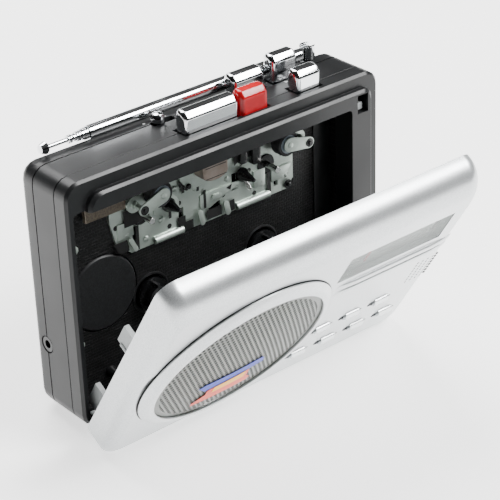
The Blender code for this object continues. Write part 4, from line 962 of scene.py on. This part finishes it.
def make_deck_details():
    """Levers, punched openings and holes drawn as painted shade, bosses, rolled flanges, rivets, clips and a
    spring on the deck plate.
    """
    front = DECK_FRONT
    levers = [plate([(-23.4, 61.8), (-23.4, 55.4), (-19.6, 53.2), (-14.2, 53.2), (-14.2, 57.0),
                     (-18.2, 61.8)], front - 0.5, 0.45),
              plate([(-6.4, 55.4), (-6.4, 50.8), (-3.0, 50.2), (4.6, 53.2), (12.6, 53.2), (12.6, 55.4)],
                    front - 0.5, 0.45),
              plate([(14.2, 56.2), (14.2, 50.6), (18.6, 50.6), (18.6, 56.2)], front - 0.6, 0.55),
              plate([(21.2, 54.4), (21.2, 50.2), (27.6, 50.2), (29.0, 52.6), (29.0, 54.4)],
                    front - 0.45, 0.4),
              strap((-7.2, 50.4), (-6.4, 46.9), 1.8, front - 1.4, 0.5),
              strap((2.6, 50.0), (3.4, 46.9), 1.9, front - 1.4, 0.5),
              strap((-1.6, 53.6), (0.6, 53.4), 1.6, front - 1.2, 0.7),
              strap((-32.6, 50.6), (-31.0, 47.2), 1.5, front - 1.3, 0.5),
              plate([(-36.6, 56.4), (-36.6, 51.6), (-31.0, 51.6), (-31.0, 56.4)], front - 0.5, 0.45)]
    drawn("deck_levers", levers, CASE, "case", "zinc_sheet")
    # painted shade: dark sheets just in front of the plate stand in for its punched openings
    openings = []
    for outline in (
            [(-30.4, 54.2), (-29.3, 54.2), (-29.3, 46.4), (-30.6, 46.4)],
            [(19.2, 54.4), (20.6, 54.4), (20.8, 47.4), (19.6, 47.4)],
            [(-14.0, 63.2), (-12.2, 63.2), (-12.2, 58.6), (-13.2, 58.6), (-13.2, 60.8), (-14.0, 60.8)],
            [(-7.7, 63.0), (-6.8, 63.0), (-6.8, 57.4), (-7.7, 57.4)],
            [(-15.2, 51.2), (-12.2, 51.2), (-12.2, 49.0), (-9.4, 49.0), (-9.4, 46.2), (-14.2, 46.2)],
            [(-38.4, 50.9), (-33.6, 50.9), (-33.0, 48.6), (-33.0, 47.2), (-36.4, 47.2)],
            [(-4.2, 49.8), (1.4, 49.8), (1.4, 46.6), (-4.2, 46.6)],
            [(4.6, 50.0), (6.4, 50.0), (6.4, 46.4), (4.6, 46.4)],
            [(-34.2, 60.2), (-26.8, 60.2), (-26.8, 54.9), (-34.2, 54.9)],
            [(3.4, 54.6), (5.6, 55.2), (5.0, 53.6)],
            [(6.8, 66.8), (13.6, 66.8), (13.6, 61.6), (10.2, 62.4), (6.8, 60.8)],
            [(-18.2, 57.6), (-17.3, 57.6), (-17.3, 52.2), (-18.2, 52.2)],
            [(-5.2, 56.8), (-4.3, 56.8), (-4.3, 50.8), (-5.2, 50.8)]):
        openings.append(prism(outline, front - 0.62, front - 0.56))
    drawn("deck_openings", openings, CASE, "case", "zinc_sheet", PAINTED_SHADE)
    bosses = []
    for x, z in CAPSTAN_PLACES:
        bosses.append(turned((x, front, z), [(0.0, 3.2), (-0.35, 3.2), (-0.5, 3.0), (-0.5, 1.25)], steps=32))
    bosses.append(prism(rounded_rect(12.8, 16.0, 59.4, 66.0, 0.6, 3), front - 2.2, front, 0.2))
    bosses.append(prism(rounded_rect(8.6, 11.2, 60.6, 64.4, 0.6, 3), front - 1.6, front, 0.2))
    drawn("deck_bosses", bosses, CASE, "case", "dark_acetal")
    flanges = []
    for x0, x1 in ((-23.8, -13.3), (7.2, 20.0)):
        ring = []
        for step in range(9):
            angle = math.pi * step / 8
            ring.append((46.9 + 1.25 * math.cos(angle), front - 1.5 * math.sin(angle)))
        for step in range(8, -1, -1):
            angle = math.pi * step / 8
            ring.append((46.9 + 0.75 * math.cos(angle), front - 1.0 * math.sin(angle)))
        flanges.append(loft([[(x, depth, z) for z, depth in ring] for x in (x0, x1)]))
    drawn("deck_rolled_flanges", flanges, CASE, "case", "zinc_sheet")
    rivet = turned((0, 0, 0), [(0.0, 0.95), (-0.25, 0.9), (-0.5, 0.65), (-0.62, 0.3)], steps=20)
    places = [(x, front - 0.02, z) for x, z in ((-33.4, 52.3), (17.4, 51.9), (-20.6, 52.6), (-8.0, 58.4),
                                                (4.2, 57.2), (10.0, 60.4), (27.0, 50.8), (-15.4, 60.8),
                                                (-26.4, 48.6), (-36.6, 64.5))]
    repeated("deck_rivets", rivet, places, CASE, "case", "zinc_sheet")
    clip = turned((0, 0, 0), [(0.0, 1.5), (-0.3, 1.5), (-0.3, 0.8), (-1.1, 0.8), (-1.3, 0.55)], steps=20)
    places = [(x, front - 0.55, z) for x, z in ((-11.0, 60.5), (27.6, 47.6))]
    repeated("deck_clips", clip, places, CASE, "case", "dark_acetal")
    # painted shade: dark discs stand in for small holes in the plate
    holes = turned((0, 0, 0), [(0.0, 0.8), (-0.03, 0.8)], steps=16)
    places = [(x, front - 0.01, z) for x, z in ((-31.2, 48.8), (-24.2, 62.6), (-17.8, 49.4), (-4.0, 60.6),
                                                (0.6, 48.0), (12.8, 57.0), (14.6, 48.8), (25.6, 58.4),
                                                (-13.9, 55.5), (2.6, 52.4), (-36.9, 55.6), (28.9, 62.9),
                                                (-21.5, 57.2), (9.3, 66.0), (-17.6, 66.4), (13.8, 63.4))]
    repeated("deck_holes", holes, places, CASE, "case", "zinc_sheet", PAINTED_SHADE)
    spring = coil((9.2, front - 1.0, 57.8), (12.6, front - 1.0, 50.6), 0.55, 12)
    drawn("deck_spring", [spring], CASE, "case", "steel", sharp=80)
    bar = prism(rounded_rect(DECK_LEFT + 6, DECK_RIGHT - 4, 67.95, 69.2, 0.4, 2),
                front - 2.6, front - 0.1, 0.15)
    drawn("deck_cross_bar", [bar], CASE, "case", "zinc_sheet")


def make_head_details():
    """Painted shade in two slots across the tape head, its height screws, and the rollers' hubs, studs and
    shields.
    """
    x = HEAD_X
    # painted shade: dark strips in the two slots across the head's face
    slots = [prism([(x - 3.9, z), (x + 3.9, z), (x + 3.9, z + 0.25), (x - 3.9, z + 0.25)], 1.97, 2.05)
             for z in (63.0, 66.4)]
    drawn("tape_head_lines", slots, CASE, "head_carrier", "steel", PAINTED_SHADE)
    screws = [turned((x + dx, 6.85, 66.0), [(0, 1.2), (-0.5, 1.2), (-0.9, 0.9), (-1.0, 0.4)], steps=20)
              for dx in (-7.6, 6.4)]
    drawn("tape_head_screws", screws, CASE, "head_carrier", "zinc_sheet")
    sides = ("left", "right")
    for side, (rx, rz) in zip(sides, ROLLER_PLACES):
        hub = turned((rx, 2.75, rz), [(0.3, 3.0), (0.0, 2.9), (-0.08, 1.1), (0.1, 0.8)], steps=28)
        drawn("pinch_hub_" + side, [hub], CASE, "pinch_roller_" + side, "rubber", HUB_PLASTIC)
    for side, (rx, rz), (px, pz) in zip(sides, ROLLER_PLACES, ARM_PIVOTS):
        stud = turned((px, 2.0, pz), [(0.1, 1.4), (-0.25, 1.4), (-0.3, 0.7), (-0.8, 0.6)], steps=20)
        drawn("pinch_stud_" + side, [stud], CASE, "pinch_arm_" + side, "dark_acetal")
        shield = tapered_strap((rx, rz), 2.3, (px, pz), 1.8, 1.95, 0.5)
        rivet = turned((rx, 1.95, rz), [(0.1, 0.95), (-0.2, 0.9), (-0.4, 0.5)], steps=20)
        post = turned((px, 2.2, pz), [(0.0, 0.8), (4.8, 0.8)], steps=16)
        drawn("pinch_shield_" + side, [shield, rivet, post], CASE, "pinch_arm_" + side, "zinc_sheet")


def make_well_details():
    """Rims, posts and a rib moulded in the cassette well, a red lead, the well's screws, and painted shade in two
    slots of the shield can.
    """
    floor = WELL_DEPTH
    parts = []
    for x, z in REEL_PLACES:
        profile = [(0.02, 6.6), (-0.15, 6.6), (-0.25, 6.4), (-0.25, 6.0), (-0.15, 5.8), (0.02, 5.8)]
        stations = [[(px, floor + depth, pz) for px, pz in circle(x, z, r, 56)] for depth, r in profile]
        stations.append(stations[0])
        rim = loft(stations, closed=False)
        bmesh.ops.remove_doubles(rim, verts=rim.verts, dist=0.001)
        bmesh.ops.recalc_face_normals(rim, faces=rim.faces)
        parts.append(rim)
    for x, z in ((-42.0, 9.5), (35.5, 9.5)):
        parts.append(turned((x, floor, z), [(0.02, 1.9), (-0.6, 1.8), (-3.4, 1.1), (-4.0, 0.7)], steps=24))
    parts.append(prism(rounded_rect(38.8, 45.5, 3.4, 69.6, 0.6, 3), floor - 0.5, floor + 0.02, 0.2))
    drawn("well_ribs", parts, CASE, "case", "well_plastic", DARK_SMOOTH)
    wire = [(-54.8, 7.9, 44.0), (-53.6, 7.3, 46.5), (-52.6, 7.2, 49.0), (-53.0, 7.3, 51.5),
            (-54.8, 7.6, 53.6)]
    drawn("head_lead", [tube(smooth_path(wire), 0.28)], CASE, "case", "rubber", LEAD_SLEEVE, sharp=80)
    screw = turned((0, 0, 0), [(0.0, 1.5), (-0.45, 1.45), (-0.7, 1.1), (-0.75, 0.5)], steps=24)
    places = [(-51.5, floor - 0.02, 53.7), (-52.0, floor - 0.02, 22.7)]
    repeated("well_screws", screw, places, CASE, "case", "zinc_sheet")
    # painted shade: dark patches in the shield can's two slots
    slots = [prism([(x0, z0), (x0 + 1.6, z0), (x0 + 1.6, z0 + 1.0), (x0, z0 + 1.0)], 5.97, 6.05)
             for x0, z0 in ((-44.5, 64.6), (-38.6, 64.6))]
    drawn("shield_slots", slots, CASE, "case", "shield_metal", PAINTED_SHADE)


def smooth_path(points, steps=6):
    """Catmull-Rom curve through points."""
    points = [Vector(p) for p in points]
    padded = [points[0] * 2 - points[1]] + points + [points[-1] * 2 - points[-2]]
    curve = []
    for a, b, c, d in zip(padded, padded[1:], padded[2:], padded[3:]):
        for step in range(steps):
            t = step / steps
            curve.append(0.5 * (2 * b + (c - a) * t + (2 * a - 5 * b + 4 * c - d) * t * t
                                + (3 * b - a - 3 * c + d) * t * t * t))
    curve.append(points[-1])
    return curve


# ---- outside of the case ---------------------------------------------------------------------
def triangle(x, z, size, way=1):
    """Outline of an arrowhead that points to the right, or to the left where way is -1."""
    return [(x - size / 2 * way, z - size / 2), (x + size / 2 * way, z), (x - size / 2 * way, z + size / 2)]


def flat_on_top(outline, height=CASE_HEIGHT):
    """Ink on the case's top: an outline in x and depth."""
    return loft([[(x, y, height + rise) for x, y in outline] for rise in (-0.02, 0.02)])


def make_marks():
    """Plain printed symbols beside the keys and the function slide."""
    marks = []
    marks.append(flat_on_top(triangle(-9.0, 9.9, 1.5)))
    marks.append(flat_on_top(circle(11.5, 9.9, 0.75, 20)))
    marks.append(flat_on_top([(32.0, 9.2), (33.5, 9.2), (33.5, 10.7), (32.0, 10.7)]))
    for x in (17.4, 18.9):
        marks.append(flat_on_top(triangle(x, 11.6, 1.3, -1)))
    for x in (31.6, 33.1):
        marks.append(flat_on_top(triangle(x, 11.6, 1.3)))
    for x in (-17.8, -10.2):
        marks.append(flat_on_top(circle(x, 17.6, 0.4, 12)))
    drawn("top_marks", marks, CASE, "case", "case_plastic", WHITE_PRINT)


def make_antenna_collars():
    """Rolled collars where each antenna section leaves the one before it."""
    tube = frame["nodes"]["antenna_tube"].data
    mouth_x = min(vert.co.x for vert in tube.vertices)
    lip = [vert.co for vert in tube.vertices if vert.co.x < mouth_x + 0.01 * MM]
    place = Matrix.Translation(sum(lip, Vector()) / len(lip)) @ Matrix.Diagonal((MM, MM, MM, 1.0))
    for name, body, ring, reach in COLLARS:
        profile = [(0, ring - 0.25), (0.1, ring), (0.4, ring), (0.5, ring - 0.25)]
        collars = [turned((-reach - 0.8 * step, 0, 0), profile, "x", 32) for step in range(2)]
        drawn(name, collars, place, body, "chrome_plate", sharp=50)


def make_back_details():
    """Four cross-head screws in the rear cover, with painted shade in their cross recesses."""
    screws = [(x, CASE_DEPTH + 0.01, z) for x in (-50.0, 50.0) for z in (26.5, 66.0)]
    head = turned((0, 0, 0), [(0.0, 1.9), (0.25, 1.8), (0.45, 1.2), (0.5, 0.4)], steps=28)
    repeated("back_screws", head, screws, CASE, "case", "zinc_sheet")
    # painted shade: a dark cross in each screw head's recess
    cross = merged([prism([(-1.2, -0.2), (1.2, -0.2), (1.2, 0.2), (-1.2, 0.2)], 0.44, 0.54),
                    prism([(-0.2, -1.2), (0.2, -1.2), (0.2, 1.2), (-0.2, 1.2)], 0.44, 0.54)])
    repeated("back_screw_slots", cross, screws, CASE, "case", "zinc_sheet", PAINTED_SHADE)


# ---- put it together --------------------------------------------------------------------------
SATIN_BARS = satin_plate()
HEAD_CAN = rolled_steel("head_can_permalloy", "85786F", "A3958C", 0.38, 0.8)
DARK_SMOOTH = gloss_plastic("well_smooth_abs", "0B0B0C", "121314", 0.34)

EASED_EDGES = {"front_frame": 0.35, "case_band": 0.18, "rear_cover": 0.25, "battery_cover": 0.3,
               "play_key": 0.45, "record_key": 0.45, "stop_key": 0.45, "rewind_key": 0.45,
               "forward_key": 0.45, "cassette_well": 0.3, "shield_can": 0.4, "tape_head": 0.3,
               "deck_plate": 0.12, "door_inner_plate": 0.2, "drive_belt": 0.1, "tuning_lens": 0.15,
               "antenna_tube": 0.0, "antenna_section_2": 0.0, "antenna_section_3": 0.0,
               "antenna_rod": 0.0, "function_knob": 0.2, "dc_jack": 0.15, "headphone_jack": 0.15}
# name, body, radius, and distance outside the antenna tube's mouth
COLLARS = (("antenna_collar_1", "antenna_section_2", 1.8, 0.8),
           ("antenna_collar_2", "antenna_section_3", 1.5, 3.4),
           ("antenna_collar_3", "antenna_rod", 1.25, 6.2))
THIN_EDGE = 0.12
SPECIAL_FINISHES = {"tape_head": HEAD_CAN}
LEFT_AS_PACKED = ("battery_spring",)
OWN_SHAPES = ("door_shell", "speaker_ring", "speaker_grille")

for node in frame["nodes"]:
    if node in OWN_SHAPES:
        continue
    if node in LEFT_AS_PACKED:
        packed = frame["nodes"][node].data
        packed.materials.clear()
        packed.materials.append(FINISHES[subpart_slots[node]])
        continue
    special = SATIN_BARS if node.startswith("push_bar") else SPECIAL_FINISHES.get(node)
    softened(node, EASED_EDGES.get(node, THIN_EDGE), special)

make_door_shell()
make_door_face()
make_grille()
make_label()
make_dial()
make_wheel_ribs()
make_door_inside()
make_deck_details()
make_head_details()
make_well_details()
make_marks()
make_back_details()
make_antenna_collars()


# ---- floor, light and camera -------------------------------------------------------------------
def make_stage():
    """Flat pale floor, and a soft sky that is brighter on one side."""
    floor_material, _, paper = begin("studio_floor_paper", "F8F8F7", 0.6)
    paper.inputs["Emission Color"].default_value = linear("FFFFFF")
    paper.inputs["Emission Strength"].default_value = 1.5
    data = bpy.data.meshes.new("floor")
    size = 3.0
    data.from_pydata([(-size, -size, 0), (size, -size, 0), (size, size, 0), (-size, size, 0)], [],
                     [(0, 1, 2, 3)])
    data.materials.append(floor_material)
    linked("floor", data)
    world = bpy.data.worlds.new("studio")
    world.use_nodes = True
    sky = world.node_tree
    direction = add(sky, "ShaderNodeTexCoord").outputs["Generated"]
    towards = add(sky, "ShaderNodeVectorMath", {0: direction, 1: (0.45, 0.35, 0.82)}, operation="DOT_PRODUCT")
    glow = add(sky, "ShaderNodeMapRange", {"Value": towards.outputs["Value"], "From Min": -0.2,
                                           "From Max": 0.9, "To Min": 0.12, "To Max": 1.9})
    sky.links.new(glow.outputs["Result"], sky.nodes["Background"].inputs["Strength"])
    bpy.context.scene.world = world


def softbox(name, position, target, size, power):
    """Square lamp panel that faces a point."""
    light = bpy.data.lights.new(name, "AREA")
    light.size = size
    light.energy = power
    lamp = linked(name, light)
    lamp.location = position
    lamp.rotation_euler = (Vector(target) - Vector(position)).to_track_quat("-Z", "Y").to_euler()
    return lamp


make_stage()
middle = (0.0, 0.0, 0.04)
softbox("key_panel", (0.45, -0.30, 0.75), middle, 0.4, 16.0)
softbox("top_panel", (0.05, 0.55, 0.7), middle, 0.6, 14.0)

CAMERA_PLACE = Vector((-302.7033, -377.8253, 304.1737))
CAMERA_AHEAD = Vector((0.553917, 0.678691, -0.482239))
CAMERA_DOWN = Vector((-0.332171, -0.35097, -0.87549))
camera_data = bpy.data.cameras.new("camera")
camera_data.lens = 133.86
camera_data.sensor_width = 36.0
camera_data.clip_start = 0.01
camera = linked("camera", camera_data)
case_turn = CASE.decompose()[1].to_matrix()
ahead = case_turn @ CAMERA_AHEAD
down = case_turn @ CAMERA_DOWN
camera.matrix_world = (Matrix.Translation(CASE @ CAMERA_PLACE)
                       @ Matrix((down.cross(ahead), -down, -ahead)).transposed().to_4x4())
bpy.context.scene.camera = camera
